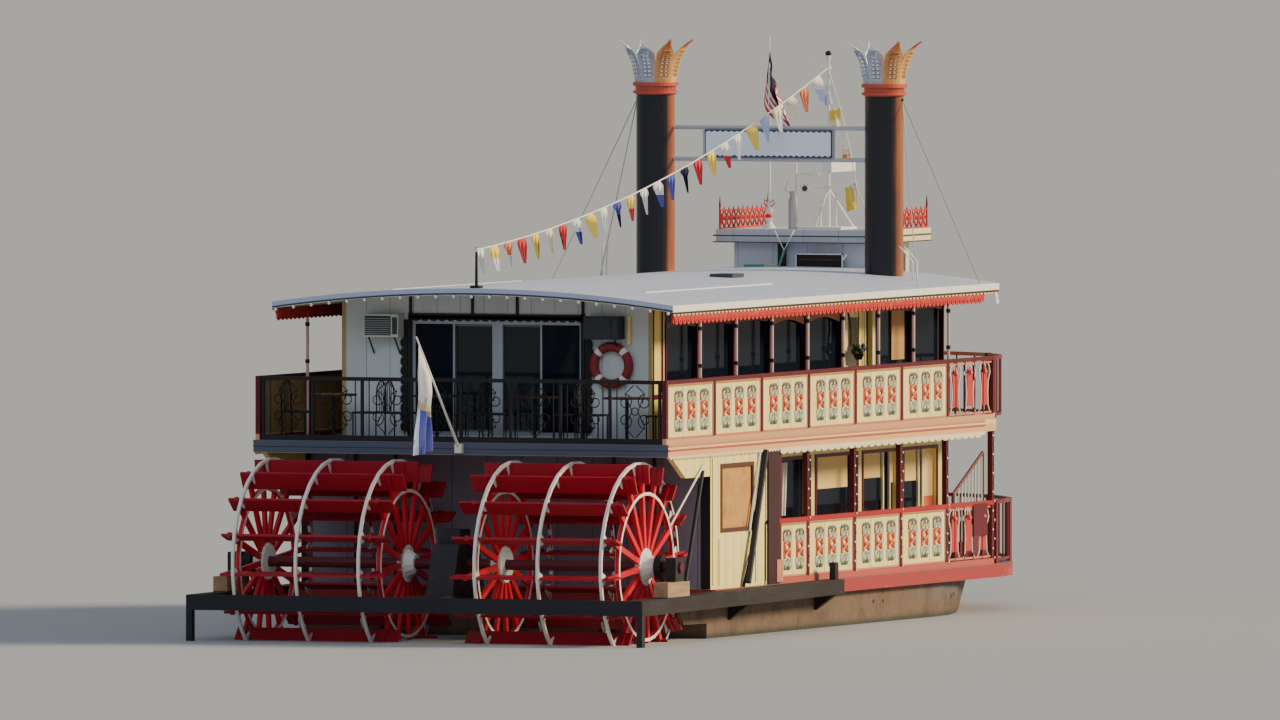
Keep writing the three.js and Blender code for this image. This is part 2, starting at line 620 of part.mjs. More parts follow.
// one ring of a petal: its half width, its inner and outer reach past the stack, its height
function petalRing(half, inner, outer, z) {
  const near = -STACK_R - inner;
  const far = -STACK_R - outer;
  return [[-half, near, z], [-half, far, z], [half, far, z], [half, near, z]];
}
const petal = loft([
  petalRing(120, -5, 12, STACK_TOP + 40),
  petalRing(165, 95, 112, STACK_TOP + 480),
  petalRing(25, 300, 316, CROWN_TOP),
]);
for (let i = 0; i < 8; i += 1) petals.push(petal.rotate([0, 0, 45 * i]));
const stackMouth = bar([0, 0, STACK_TOP - 50], [0, 0, STACK_TOP + 200], STACK_R - 12, STACK_R - 12, 24);
const crown = cut(join(petals), stackMouth);
add('stack_crown_starboard', crown, MAT.copper, [STACK_X, -STACK_Y, 0]);
add('stack_crown_port', crown, MAT.copper, [STACK_X, STACK_Y, 0]);

const between = STACK_Y - STACK_R - GAP;
add('sign_frame', join(
  bar([STACK_X, -between, 7960], [STACK_X, between, 7960], 35, 35, 8),
  bar([STACK_X, -between, 7440], [STACK_X, between, 7440], 35, 35, 8),
  box(STACK_X - 45, STACK_X - 15, -1140, 1140, 7470, 7930),
  [-1150, 1150].map((y) => box(STACK_X - 25, STACK_X + 25, y - 25, y + 25, 7420, 7980)),
), MAT.steel);

// Pilothouse
// stands on the upper deck ahead of the cabin; its floor is raised
const PH_DOOR_X = 15250;
add('pilothouse_walls', cut(
  box(PH_AFT_X, PH_FWD_X, -PH_HALF, PH_HALF, W2, PH_WALL_TOP),
  box(PH_AFT_X + 60, PH_FWD_X - 60, -PH_HALF + 60, PH_HALF - 60, PH_FLOOR, PH_WALL_TOP + 100),
  box(PH_AFT_X + 60, PH_FWD_X - 60, -PH_HALF + 60, PH_HALF - 60, W2 - 100, PH_FLOOR - 60),
  box(PH_FWD_X - 100, PH_FWD_X + 100, -1080, 1080, 4850, 5850),
  box(PH_AFT_X + 950, PH_FWD_X - 140, -PH_HALF - 50, -PH_HALF + 100, 4850, 5850),
  box(PH_AFT_X + 950, PH_FWD_X - 140, PH_HALF - 100, PH_HALF + 50, 4850, 5850),
  box(PH_DOOR_X, PH_DOOR_X + 660, PH_HALF - 100, PH_HALF + 50, PH_FLOOR + 20, 5800),
  box(PH_AFT_X + 150, PH_AFT_X + 900, -PH_HALF - 50, -PH_HALF + 100, 4850, 5850),
), MAT.pale);
add('pilothouse_door', join(
  cut(box(0, 648, -50, -5, PH_FLOOR + 30, 5792), box(120, 530, -100, 50, 4850, 5700)),
  bar([11, -16, PH_FLOOR + 20 + GAP], [11, -16, 5800 - GAP], 10, 10, 8),
), MAT.maroon, [PH_DOOR_X + 6, PH_HALF, 0]);
const PH_EAVE = 250;
add('pilothouse_roof', box(
  PH_AFT_X - 190, PH_FWD_X + 360,
  -PH_HALF - PH_EAVE, PH_HALF + PH_EAVE,
  PH_WALL_TOP + GAP, PH_ROOF_TOP,
), MAT.roof);

// a panel along each side of the roof
addPair('pilothouse_cresting', box(
  PH_AFT_X - 150, PH_FWD_X + 320,
  -PH_HALF - 210, -PH_HALF - 185,
  PH_ROOF_TOP + GAP, PH_ROOF_TOP + 330,
), MAT.red);

const MAST = [15500, -260];
const YARD_Z = 6950;
const MAST_TOP = 9060;
function mastFoot(x, y) {
  return bar([MAST[0] + x, MAST[1] + y, PH_ROOF_TOP + 20], [...MAST, YARD_Z - 30], 20, 20, 6);
}
add('radio_mast', join(
  bar([...MAST, PH_ROOF_TOP + GAP], [...MAST, MAST_TOP], 36, 22, 8),
  bar([MAST[0], MAST[1] - 500, YARD_Z], [MAST[0], MAST[1] + 500, YARD_Z], 18, 18, 6),
  mastFoot(250, -350), mastFoot(250, 350), mastFoot(-320, 120),
  box(MAST[0] - 400, MAST[0] + 320, MAST[1] - 380, MAST[1] + 380, PH_ROOF_TOP + GAP, PH_ROOF_TOP + 40),
  box(MAST[0] - 40, MAST[0] + 1050, MAST[1] - 70, MAST[1] + 70, 7190, 7380),
), MAT.white);
const HORN = [15150, 230];
add('horn_pipe', join(
  bar([...HORN, PH_ROOF_TOP + GAP], [...HORN, 6760], 78, 78, 12),
  bar([...HORN, 6740], [...HORN, 6880], 50, 62, 12),
), MAT.steel);
add('flag_staff_upper', bar([15750, 890, PH_ROOF_TOP + GAP], [15750, 890, 9440], 30, 16, 8), MAT.white);

// Masts and small pieces
const ROOF_AFT_TOP = CROWN + GAP;
const AFT_MAST = [700, 0];
const AFT_MAST_TOP = 6300;
add('aft_roof_mast', join(
  bar([...AFT_MAST, ROOF_AFT_TOP], [...AFT_MAST, AFT_MAST_TOP], 28, 20, 8),
  box(620, 780, -80, 80, ROOF_AFT_TOP, ROOF_AFT_TOP + 40),
), MAT.dark);

// a line of pennants sags from the radio mast to the mast on the roof's after end; a collar ties
// it to each mast
const LINE = { from: [...MAST, 8920], to: [...AFT_MAST, 6260], sag: 420, r: 12, pieces: 14, pennants: 26 };
function linePoint(t) {
  const [x, y, z] = LINE.from.map((start, i) => start + (LINE.to[i] - start) * t);
  return [x, y, z - 4 * LINE.sag * t * (1 - t)];
}
const PENNANT = { half: 130, drop: 420, thick: 6, first: 0.035, step: 0.0382 };
function pennant(t) {
  const [x, y, z] = linePoint(t);
  const reach = PENNANT.half / (LINE.from[0] - LINE.to[0]);
  return side([
    [x - PENNANT.half, linePoint(t + reach)[2]],
    [x, z - PENNANT.drop],
    [x + PENNANT.half, linePoint(t - reach)[2]],
  ], y - PENNANT.thick / 2, y + PENNANT.thick / 2);
}
const collar = (x, y, z) => bar([x, y, z - 30], [x, y, z + 30], 46, 46, 8);
const lineParts = [collar(...LINE.from), collar(...LINE.to)];
for (let i = 0; i < LINE.pieces; i += 1) {
  lineParts.push(bar(linePoint(i / LINE.pieces), linePoint((i + 1) / LINE.pieces), LINE.r, LINE.r, 6));
}
for (let i = 0; i < LINE.pennants; i += 1) {
  lineParts.push(pennant(PENNANT.first + PENNANT.step * i));
}
add('pennant_line', cut(
  join(lineParts),
  bar([...MAST, PH_ROOF_TOP + GAP], [...MAST, MAST_TOP], 36.6, 22.6, 8),
  bar([...AFT_MAST, ROOF_AFT_TOP], [...AFT_MAST, AFT_MAST_TOP], 28.6, 20.6, 8),
), MAT.white);
// the staff leans out over the wheels from a socket on the deck's aft edge
const STAFF_TIP = [-1860, 0, 4925];
add('stern_flagstaff', join(
  box(-95, -GAP, -60, 60, 3010, 3160),
  bar([-50, 0, 3090], STAFF_TIP, 24, 15, 8),
), MAT.white);

export default boat;
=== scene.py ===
# %% [markdown]
# # A sternwheel paddle boat, dressed in cells
#
# The solids of this boat were made in a CAD program and packed with their joints: hull, decks, cabins,
# stacks, two paddle wheels that turn, rudders that swing and doors that open. This lesson gives them
# their paint, timber, glass and ornament, adds what is too small for the solids, and sets up a studio.
# Everything is in metres, in the CAD frame: +X to the bow, +Y to port, +Z up.

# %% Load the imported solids
import math

import bmesh
import bpy
from mathutils import Matrix, Vector


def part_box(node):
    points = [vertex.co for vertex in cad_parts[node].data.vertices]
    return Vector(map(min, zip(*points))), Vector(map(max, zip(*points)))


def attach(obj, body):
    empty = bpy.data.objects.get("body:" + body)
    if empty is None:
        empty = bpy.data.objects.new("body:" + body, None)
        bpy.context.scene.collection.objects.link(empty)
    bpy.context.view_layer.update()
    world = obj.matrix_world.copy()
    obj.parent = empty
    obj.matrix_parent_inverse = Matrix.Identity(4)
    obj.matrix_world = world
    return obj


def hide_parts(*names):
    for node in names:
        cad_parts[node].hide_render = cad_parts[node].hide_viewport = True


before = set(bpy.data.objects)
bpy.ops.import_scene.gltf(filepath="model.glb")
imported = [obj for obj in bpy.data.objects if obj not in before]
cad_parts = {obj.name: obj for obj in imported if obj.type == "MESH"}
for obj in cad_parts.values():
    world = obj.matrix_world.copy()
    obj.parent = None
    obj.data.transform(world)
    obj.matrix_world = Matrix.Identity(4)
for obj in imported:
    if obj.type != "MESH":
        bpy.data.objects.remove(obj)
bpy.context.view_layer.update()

# %% [markdown]
# Boat builders measure from marks. Two marks serve here: the aft edge of the upper deck, from which
# lengths run forward, and the water line, from which heights run up. `at` turns such a place into the
# frame's own numbers, so the cells below can speak of "the rail at 4.21 m above the water".

# %% Marks
UPPER_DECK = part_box("upper_deck")
MAIN_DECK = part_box("main_deck")
DECK_AFT = UPPER_DECK[0][0]
WATER = 0.85
DECK_1 = MAIN_DECK[1][2] - WATER
DECK_2 = UPPER_DECK[1][2] - WATER
BAY = 2.07


def at(x, y, z):
    """A place x forward of the upper deck's aft edge, y to port, z above the water."""
    return Vector((x + DECK_AFT, y, z + WATER))


AXLE = at(-0.21, 0, 1.23)
print("deck aft edge", round(DECK_AFT, 3), "decks above water", round(DECK_1, 3), round(DECK_2, 3))

# %% [markdown]
# ## Shader maths
#
# A finish is a small program: noise, height and place are mixed into colour, roughness and bumps.
# Written out as nodes, such sums are hard to read, so one small class lets Python's own operators add
# the Math nodes. `mask * 0.3 + 1` then reads as it should.

# %% Wires: sockets with operators
class Wire:
    """The value on one socket of a finish, with Python's operators for the Math nodes."""

    def __init__(self, finish, socket):
        self.finish, self.socket = finish, socket

    def math(self, operation, *others, clamp=False):
        values = dict(enumerate((self, *others)))
        return self.finish.node("ShaderNodeMath", {"operation": operation, "use_clamp": clamp}, values)

    def __add__(self, other):
        return self.math("ADD", other)

    def __sub__(self, other):
        return self.math("SUBTRACT", other)

    def __mul__(self, other):
        return self.math("MULTIPLY", other)

    def __truediv__(self, other):
        return self.math("DIVIDE", other)

    def __mod__(self, other):
        return self.math("FLOORED_MODULO", other)

    def __pow__(self, other):
        return self.math("POWER", other)

    def __rsub__(self, other):
        return (self * -1) + other

    def __neg__(self):
        return self * -1

    def __abs__(self):
        return self.math("ABSOLUTE")

    __radd__, __rmul__ = __add__, __mul__

    def clip(self):
        return self.math("ADD", 0.0, clamp=True)

    def most(self, other):
        return self.math("MAXIMUM", other)

    def root(self):
        return self.math("SQRT")

    def over(self, edge, soft=0.005):
        """1 where the value is above edge, 0 below it, with a soft step between."""
        return ((self - (edge - soft)) * (0.5 / soft)).clip()

    def under(self, edge, soft=0.005):
        return 1 - self.over(edge, soft)

    def between(self, low, high, soft=0.005):
        return self.over(low, soft) * self.under(high, soft)

# %% [markdown]
# A `Finish` is a material with one Principled shader. Its `node` method is the only way a node is
# added: it sets the node's options first, then its inputs, and hands back the first output as a Wire.

# %% Finishes
class Finish:
    """One material of the boat, built round a Principled shader."""

    def __init__(self, name, colour, roughness=0.5, metallic=0.0, coat=0.0, alpha=1.0):
        self.material = bpy.data.materials.new(name)
        self.material.use_nodes = True
        self.tree = self.material.node_tree
        self.shader = self.tree.nodes["Principled BSDF"]
        self.colour = colour
        for socket, value in (
            ("Base Color", (*colour, 1)), ("Roughness", roughness), ("Metallic", metallic),
            ("Coat Weight", coat), ("Coat Roughness", 0.12), ("Alpha", alpha),
            ("Specular IOR Level", 0.3)
        ):
            self.shader.inputs[socket].default_value = value
        self.material.diffuse_color = (*colour, 1)

    def node(self, kind, settings=None, values=None, out=0):
        node = self.tree.nodes.new(kind)
        for key, value in (settings or {}).items():
            if key == "stops":
                ramp = node.color_ramp
                while len(ramp.elements) < len(value):
                    ramp.elements.new(0.5)
                for element, (place, colour) in zip(ramp.elements, value):
                    element.position, element.color = place, (*colour, 1)
            else:
                setattr(node, key, value)
        for key, value in (values or {}).items():
            socket = node.inputs[key]
            if isinstance(value, Wire):
                self.tree.links.new(value.socket, socket)
            else:
                socket.default_value = value
        return Wire(self, node.outputs[out])

    def feed(self, **wires):
        """Links wires to the shader: colour, roughness, metallic, coat, alpha, glow, normal."""
        names = {
            "colour": "Base Color", "roughness": "Roughness", "metallic": "Metallic",
            "coat": "Coat Weight", "alpha": "Alpha", "glow": "Emission Color", "normal": "Normal"
        }
        for key, wire in wires.items():
            self.tree.links.new(wire.socket, self.shader.inputs[names[key]])
        return self

    def fed_colour(self):
        """The colour that feeds the shader so far, to paint over."""
        return Wire(self, self.shader.inputs["Base Color"].links[0].from_socket)

    def object_place(self):
        return self.node("ShaderNodeTexCoord", out=3)

    def xyz(self):
        split = self.node("ShaderNodeSeparateXYZ", values={0: self.object_place()})
        node = split.socket.node
        return [Wire(self, socket) for socket in node.outputs]

    def marks(self):
        """The place of a point from the boat's marks: x from the deck's aft edge, y, z above water."""
        x, y, z = self.xyz()
        return x - DECK_AFT, y, z - WATER

    def noise(self, scale, detail=3.0, rough=0.55, stretch=(1, 1, 1)):
        place = self.node("ShaderNodeMapping", {"vector_type": "POINT"}, {0: self.object_place(), 3: stretch})
        return self.node("ShaderNodeTexNoise", {"noise_dimensions": "3D"},
                         {"Vector": place, "Scale": scale, "Detail": detail, "Roughness": rough})

    def mix(self, mask, low, high):
        """Colour low where mask is 0 and high where it is 1; either may be a tuple or a wire."""
        fill = lambda c: c if isinstance(c, Wire) else (*c, 1)
        return self.node(
            "ShaderNodeMix", {"data_type": "RGBA", "clamp_factor": True},
            {0: mask, 6: fill(low), 7: fill(high)}, out=2
        )

    def bump(self, height, depth=0.01, strength=1.0):
        return self.node("ShaderNodeBump", None, {"Height": height, "Distance": depth, "Strength": strength})


def wear(finish, amount=0.35, scale=1.4, dirt=(0.16, 0.12, 0.09), roughness=0.5):
    """Soft dirt and fading over a coat of paint."""
    patches = finish.noise(scale, 5, 0.65)
    specks = finish.noise(scale * 14, 3, 0.6)
    mask = ((patches - 0.52) * 4).clip() * amount + ((specks - 0.62) * 6).clip() * (amount * 0.6)
    return finish.feed(
        colour=finish.mix(mask, finish.colour, dirt), roughness=patches * 0.25 + (roughness - 0.1)
    )

# %% [markdown]
# ## Paint for the solids
#
# The hull is steel plate in a tan paint that rust has bled through: a dark wet band at the water, brown
# patches above it, and cooler grey paint near the bow. Each patch is a noise cut off at a height.

# %% Hull and guard paint
hull_paint = Finish("hull_paint", (0.165, 0.110, 0.074), 0.62)
x, y, z = hull_paint.marks()
streaks = hull_paint.noise(1.6, 6, 0.75, (0.8, 1.6, 0.7))
blotches = hull_paint.noise(1.1, 6, 0.7)
plates = hull_paint.noise(9, 4, 0.6)
rust = ((streaks - 0.47) * 5).clip() * 0.75 + ((blotches - 0.55) * 6).clip() * 0.5
bow_grey = x.over(12.2, 1.6) * z.over(0.30, 0.12)
plain_hull = hull_paint.mix(bow_grey * 0.7, hull_paint.colour, (0.13, 0.16, 0.20))
painted = hull_paint.mix(rust.clip(), plain_hull, (0.085, 0.045, 0.028))
for hole_x, hole_z in ((9.30, 0.35), (9.74, 0.34), (12.91, 0.31), (13.05, 0.34)):
    hole = ((x - hole_x) * (x - hole_x) + (z - hole_z) * (z - hole_z)).root().under(0.035, 0.01)
    painted = hull_paint.mix(hole, painted, (0.01, 0.01, 0.01))
wet = (z + blotches * 0.12).under(0.13, 0.06)
hull_paint.feed(colour=hull_paint.mix(wet, painted, (0.045, 0.05, 0.035)), roughness=0.75 - wet * 0.4)
hull_paint.feed(normal=hull_paint.bump(plates + blotches * 2, 0.01))

guard_paint = Finish("salmon_guard_paint", (0.36, 0.040, 0.042), 0.55)
x, y, z = guard_paint.marks()
on_top = z.over(DECK_1 - 0.004, 0.002)
scuffs = guard_paint.noise(3, 6, 0.7, (0.3, 1, 2.5))
side_colour = guard_paint.mix(((scuffs - 0.56) * 7).clip() * 0.45, guard_paint.colour, (0.50, 0.20, 0.17))
deck_grain = guard_paint.noise(1.6, 5, 0.6)
top_colour = guard_paint.mix(deck_grain, (0.13, 0.13, 0.14), (0.24, 0.23, 0.23))
guard_paint.feed(colour=guard_paint.mix(on_top, side_colour, top_colour))

# %% [markdown]
# The beams round the wheels are old creosoted timber. Long thin noise makes the grain, a second noise
# the grey weathering on top. The bearing blocks of the same node are bare tan wood, so the finish
# changes colour by place, above the beam and near the axle.

# %% Timber
timber = Finish("creosoted_timber", (0.022, 0.018, 0.018), 0.8)
x, y, z = timber.marks()
grain = timber.noise(7, 6, 0.7, (0.12, 1, 1.4))
patches = timber.noise(0.8, 5, 0.6)
dark_wood = timber.mix(((grain - 0.45) * 3).clip(), timber.colour, (0.038, 0.032, 0.032))
dark_wood = timber.mix(((patches - 0.5) * 4).clip() * 0.4, dark_wood, (0.065, 0.058, 0.060))
# painted shade: the faces that look aft are tinted dark navy
shaded_stern_face = x.under(-1.984, 0.002)
dark_wood = timber.mix(shaded_stern_face * 0.85, dark_wood, (0.022, 0.026, 0.038))
tan_wood = timber.mix(((grain - 0.42) * 3).clip(), (0.40, 0.27, 0.16), (0.24, 0.15, 0.09))
block = z.over(0.765) * abs(x + 0.39).under(0.48) * abs(y).over(3.60) * z.under(1.002)
wet_wood = (z + patches * 0.2).under(0.16, 0.08)
dry_wood = timber.mix(block, dark_wood, tan_wood)
timber.feed(colour=timber.mix(wet_wood, dry_wood, (0.02, 0.022, 0.018)), normal=timber.bump(grain, 0.01))

# %% [markdown]
# The wheels are bright red with white hoops. One node holds it all, so the finish measures the radius
# from the axle and the place along it, and paints the three outer hoops, the two inner rings and the
# hubs white. The planks, out near the rim, are painted darker: painted shade.

# %% Wheel paint
wheel_paint = Finish("wheel_paint", (0.60, 0.012, 0.026), 0.42)
x, y, z = wheel_paint.xyz()
dx, dz, out = x - AXLE.x, z - AXLE.z, abs(y)
radius = (dx * dx + dz * dz).root()
near_hoop = [abs(out - place).under(0.025, 0.001) for place in (3.185, 2.095, 1.005)]
hoops = near_hoop[0].most(near_hoop[1]).most(near_hoop[2]) * radius.over(1.628, 0.001)
ring_faces = [abs(out - place).between(0.033, 0.040, 0.001) for place in (3.285, 0.84)]
inner_ring = radius.between(1.145, 1.207, 0.002) * ring_faces[0].most(ring_faces[1])
hub = radius.under(0.30, 0.004) * (out.over(3.2) + out.under(0.95)).clip()
white_part = hoops.most(inner_ring).most(hub)
blotch = wheel_paint.noise(2.4, 5, 0.65)
chips = ((wheel_paint.noise(17, 4, 0.7) - 0.66) * 9).clip() * 0.6
red_coat = wheel_paint.mix(((blotch - 0.5) * 4).clip() * 0.6, wheel_paint.colour, (0.30, 0.008, 0.020))
red_coat = wheel_paint.mix(chips, red_coat, (0.10, 0.05, 0.04))
shaft_end = radius.under(0.09, 0.002)
# painted shade: the planks are painted darker all round the wheel
shaded_plank = radius.over(1.345, 0.003) * hoops.under(0.5, 0.1)
red_coat = wheel_paint.mix(shaded_plank * 0.6, red_coat, (0.20, 0.006, 0.020))
coat = wheel_paint.mix(white_part, red_coat, wheel_paint.mix(chips, (0.80, 0.78, 0.72), (0.40, 0.24, 0.17)))
wheel_paint.feed(colour=wheel_paint.mix(shaft_end, coat, (0.10, 0.012, 0.018)), roughness=0.55 - blotch * 0.2)

# %% [markdown]
# The cabins are clad in cream boards. On a side wall the boards' joints run up at equal steps of X, on
# an end wall at equal steps of Y. A joint is a thin dark line and a groove: the distance from the
# nearest step, taken with a modulo, gives both.

# %% Boarded walls
def boards(name, colour, along, pitch, dirt=(0.33, 0.25, 0.15), joint=(0.30, 0.25, 0.16), width=0.007):
    finish = Finish(name, colour, 0.5)
    place = finish.marks()["XYZ".index(along)]
    step = abs(((place + 50) % pitch) - pitch / 2)
    groove = step.under(width, width * 0.6)
    stains = finish.noise(1.3, 6, 0.7, (1, 1, 0.35))
    specks = finish.noise(11, 4, 0.6)
    soiled = finish.mix(
        ((stains - 0.52) * 4).clip() * 0.45 + ((specks - 0.64) * 6).clip() * 0.25, colour, dirt
    )
    return finish.feed(colour=finish.mix(groove * 0.75, soiled, joint), roughness=stains * 0.3 + 0.32,
                       normal=finish.bump(groove * -1 + specks * 0.05, 0.006))


cream_side = boards("cream_boards_side", (0.95, 0.80, 0.30), "X", 0.345)
upper_side = boards("upper_cabin_boards", (0.95, 0.72, 0.18), "X", 0.345)
x, y, z = upper_side.marks()
# painted shade: the wall between the upper windows is painted dark maroon
shaded_window_band = (x.between(2.05, 9.95).most(x.between(11.40, 14.50))) * z.between(3.94, 5.30)
painted = upper_side.fed_colour()
upper_side.feed(colour=upper_side.mix(shaded_window_band, painted, (0.040, 0.016, 0.022)))
cream_end = boards("cream_boards_end", (0.80, 0.73, 0.50), "Y", 0.30)
aft_bulkhead = boards(
    "shaded_bulkhead", (0.27, 0.25, 0.33), "Y", 0.61, (0.14, 0.13, 0.16), (0.09, 0.08, 0.11)
)
pale_aft = boards(
    "pale_aft_wall", (0.62, 0.69, 0.72), "Y", 0.41, (0.35, 0.34, 0.30), (0.36, 0.37, 0.36), 0.004
)
# The pilothouse's boards are blue-grey, painted shade for the faces that look aft; its side faces are painted
# cream, painted sunlight.
pilot_wall_sun_and_shade = boards(
    "pilothouse_wall", (0.52, 0.57, 0.66), "Y", 0.62, (0.34, 0.35, 0.39), (0.32, 0.35, 0.42), 0.004
)

x, y, z = pilot_wall_sun_and_shade.marks()
# painted sunlight: the side faces are painted cream
sunlit_side = abs(y).over(1.46, 0.003).most(abs(y).between(1.215, 1.225, 0.002))
boarded = pilot_wall_sun_and_shade.fed_colour()
pilot_wall_sun_and_shade.feed(colour=pilot_wall_sun_and_shade.mix(sunlit_side, boarded, (0.84, 0.74, 0.40)))

# %% [markdown]
# Rails are one node each: posts and handrails in maroon, with a thin board set back between them. The
# board's faces lie nearer the node's middle than the posts' faces do, so a test on Y finds them and
# paints them cream.

# %% Rail paint
def rail_paint(name, wood, board, from_x, to_x, low, high, foot, top=None):
    finish = Finish(name, wood, 0.42)
    x, y, z = finish.marks()
    inset = abs(abs(y) - 3.532).under(0.016, 0.002) * x.between(from_x, to_x) * z.between(low, high)
    age = finish.noise(2.2, 5, 0.65)
    chips = ((finish.noise(15, 4, 0.65) - 0.63) * 8).clip() * 0.5
    step = abs(((x + 50 - 0.055) % (BAY / 3)) - BAY / 6)
    seam = step.under(0.006, 0.004)
    cream = finish.mix(((age - 0.5) * 4).clip() * 0.35, board, (0.52, 0.40, 0.22))
    cream = finish.mix(seam * 0.8, cream, (0.24, 0.17, 0.10))
    red = finish.mix(
        chips, finish.mix(((age - 0.45) * 3).clip() * 0.5, wood, (0.14, 0.02, 0.022)),
        (0.45, 0.33, 0.28)
    )
    red = finish.mix(z.under(low + 0.045, 0.002) * abs(y).over(3.5), red, foot)
    if top:
        red = finish.mix(z.over(high + 0.003), red, top)
    return finish.feed(colour=finish.mix(inset, red, cream), roughness=age * 0.25 + 0.35)


CREAM_BOARD = (0.95, 0.79, 0.30)
upper_rail_paint = rail_paint(
    "upper_rail_paint", (0.10, 0.005, 0.011), CREAM_BOARD, 0.06, 12.46, DECK_2 + 0.05, 4.17,
    (0.66, 0.34, 0.17)
)
main_rail_paint = rail_paint(
    "main_rail_paint", (0.10, 0.005, 0.010), CREAM_BOARD, 4.9, 12.42, DECK_1 + 0.05, 1.762,
    (0.50, 0.10, 0.07), (0.40, 0.014, 0.018)
)
posts_above = main_rail_paint.marks()[2].over(1.84, 0.004)
under_rail = main_rail_paint.fed_colour()
main_rail_paint.feed(colour=main_rail_paint.mix(posts_above, under_rail, (0.085, 0.004, 0.008)))
maroon = wear(Finish("maroon_gloss", (0.16, 0.013, 0.020), 0.4, coat=0.2), 0.3)
bright_red = wear(Finish("bright_red", (0.58, 0.035, 0.03), 0.42), 0.25, dirt=(0.25, 0.02, 0.02))

# %% [markdown]
# The roof is pale blue-grey, a painted shade, with sheet seams across it and the dirt that rain leaves. Its
# edge has a pale cream band along the sides, painted sunlight, and a dark board across the stern.

# %% Roof and decks
# painted shade: the roof's base colour is a pale blue-grey
roof_paint = Finish("roof_paint", (0.50, 0.56, 0.70), 0.5)
x, y, z = roof_paint.marks()
seam = abs(((x + 50) % 1.22) - 0.61).under(0.007, 0.004)
rain = roof_paint.noise(1.2, 6, 0.7, (0.35, 1.6, 1))
dust = roof_paint.noise(0.5, 4, 0.6)
weathered = roof_paint.mix(((rain - 0.46) * 3).clip() * 0.5, roof_paint.colour, (0.36, 0.40, 0.52))
weathered = roof_paint.mix(((dust - 0.5) * 4).clip() * 0.35, weathered, (0.62, 0.62, 0.64))
weathered = roof_paint.mix(seam * 0.5, weathered, (0.28, 0.30, 0.36))
# painted sunlight: the side edges are painted pale cream
edge = abs(y).over(3.478, 0.002)
stern_board = x.under(0.513, 0.002)
ceiling = (z + y * y * 0.0201847).under(5.541, 0.002)
eave_line = (z + y * y * 0.0201847).under(5.570, 0.004)
coat = roof_paint.mix(edge, weathered, (0.86, 0.84, 0.76))
coat = roof_paint.mix(stern_board, coat, roof_paint.mix(eave_line, (0.42, 0.50, 0.70), (0.04, 0.05, 0.08)))
coat = roof_paint.mix(ceiling, coat, (0.72, 0.68, 0.55))
roof_paint.feed(colour=coat, roughness=rain * 0.3 + 0.4, normal=roof_paint.bump(seam, 0.008))

deck_paint = Finish("upper_deck_paint", (0.070, 0.085, 0.13), 0.55)
x, y, z = deck_paint.marks()
walked = deck_paint.mix(deck_paint.noise(2, 5, 0.6), (0.16, 0.17, 0.19), (0.27, 0.27, 0.28))
on_top = z.over(DECK_2 - 0.003, 0.002)
below = z.under(2.983, 0.002)
salmon_edge = x.over(0.02, 0.004)
# painted shade: across the stern the fascia is painted bluish grey; along the sides it is salmon and orange
fascia = deck_paint.mix(
    salmon_edge,
    deck_paint.mix(abs(z - 3.075).under(0.006, 0.003), (0.085, 0.10, 0.15), (0.02, 0.02, 0.03)),
    deck_paint.mix(z.under(3.10, 0.004), (0.84, 0.62, 0.24), (0.78, 0.42, 0.19))
)
deck_paint.feed(colour=deck_paint.mix(on_top, deck_paint.mix(below, fascia, (0.60, 0.55, 0.42)), walked))

# %% [markdown]
# The stacks are black gloss, with a painted highlight: their side towards the key lamp is painted
# copper-brown.
# The crowns are sheet metal, painted bronze and gold on the side towards the lamp as painted sunlight, and
# pale blue-grey on the other as painted shade. The angle about the stack's axis tells the two sides apart.

# %% Stacks and metal
stack_paint = Finish("stack_black", (0.018, 0.018, 0.026), 0.30, 0.3, coat=0.2)
x, y, z = stack_paint.marks()
ax, ay = x - 13.52, y - y.math("SIGN") * 2.025
SUNNY_X, SUNNY_Y = math.cos(math.radians(-68)), math.sin(math.radians(-68))
sunny = (ax * SUNNY_X + ay * SUNNY_Y) / (ax * ax + ay * ay).root()
soot = stack_paint.noise(1.4, 5, 0.65, (1, 1, 0.4))
band = z.over(8.50, 0.004)
# painted highlight: the side towards the key lamp is painted copper-brown
painted_sheen = stack_paint.mix(
    ((sunny - 0.48) * 2.4 + (soot - 0.5) * 0.8).clip(), stack_paint.colour, (0.42, 0.13, 0.045)
)
stack_paint.feed(colour=stack_paint.mix(band, painted_sheen, (0.50, 0.085, 0.06)), roughness=soot * 0.25 + 0.22)

# painted shade: the crown's base colour is pale blue-grey; the bronze and gold on the lamp's side are painted
# sunlight
crown_paint = Finish("crown_paint", (0.46, 0.52, 0.66), 0.36, 0.3)
x, y, z = crown_paint.marks()
ax, ay = x - 13.52, y - y.math("SIGN") * 2.025
sunny = (ax * SUNNY_X + ay * SUNNY_Y) / (ax * ax + ay * ay).root()
tarnish = ((crown_paint.noise(5, 5, 0.7) - 0.42) * 3).clip()
bronze = crown_paint.mix(tarnish * 0.7, (0.66, 0.32, 0.12), (0.36, 0.11, 0.045))
sunlit_gold = crown_paint.mix(((sunny - 0.45) * 3).clip(), bronze, (0.88, 0.52, 0.16))
coat = crown_paint.mix(
    ((sunny + 0.22) * 4).clip(), crown_paint.mix(tarnish * 0.6, crown_paint.colour, (0.20, 0.16, 0.19)),
    sunlit_gold
)
# the tips are white, and painted orange-red on the side towards the lamp as painted sunlight
lit_and_shaded_tips = crown_paint.mix(((sunny + 0.22) * 4).clip(), (0.85, 0.86, 0.90), (0.62, 0.16, 0.05))
crown_paint.feed(colour=crown_paint.mix(z.over(9.27, 0.03), coat, lit_and_shaded_tips))

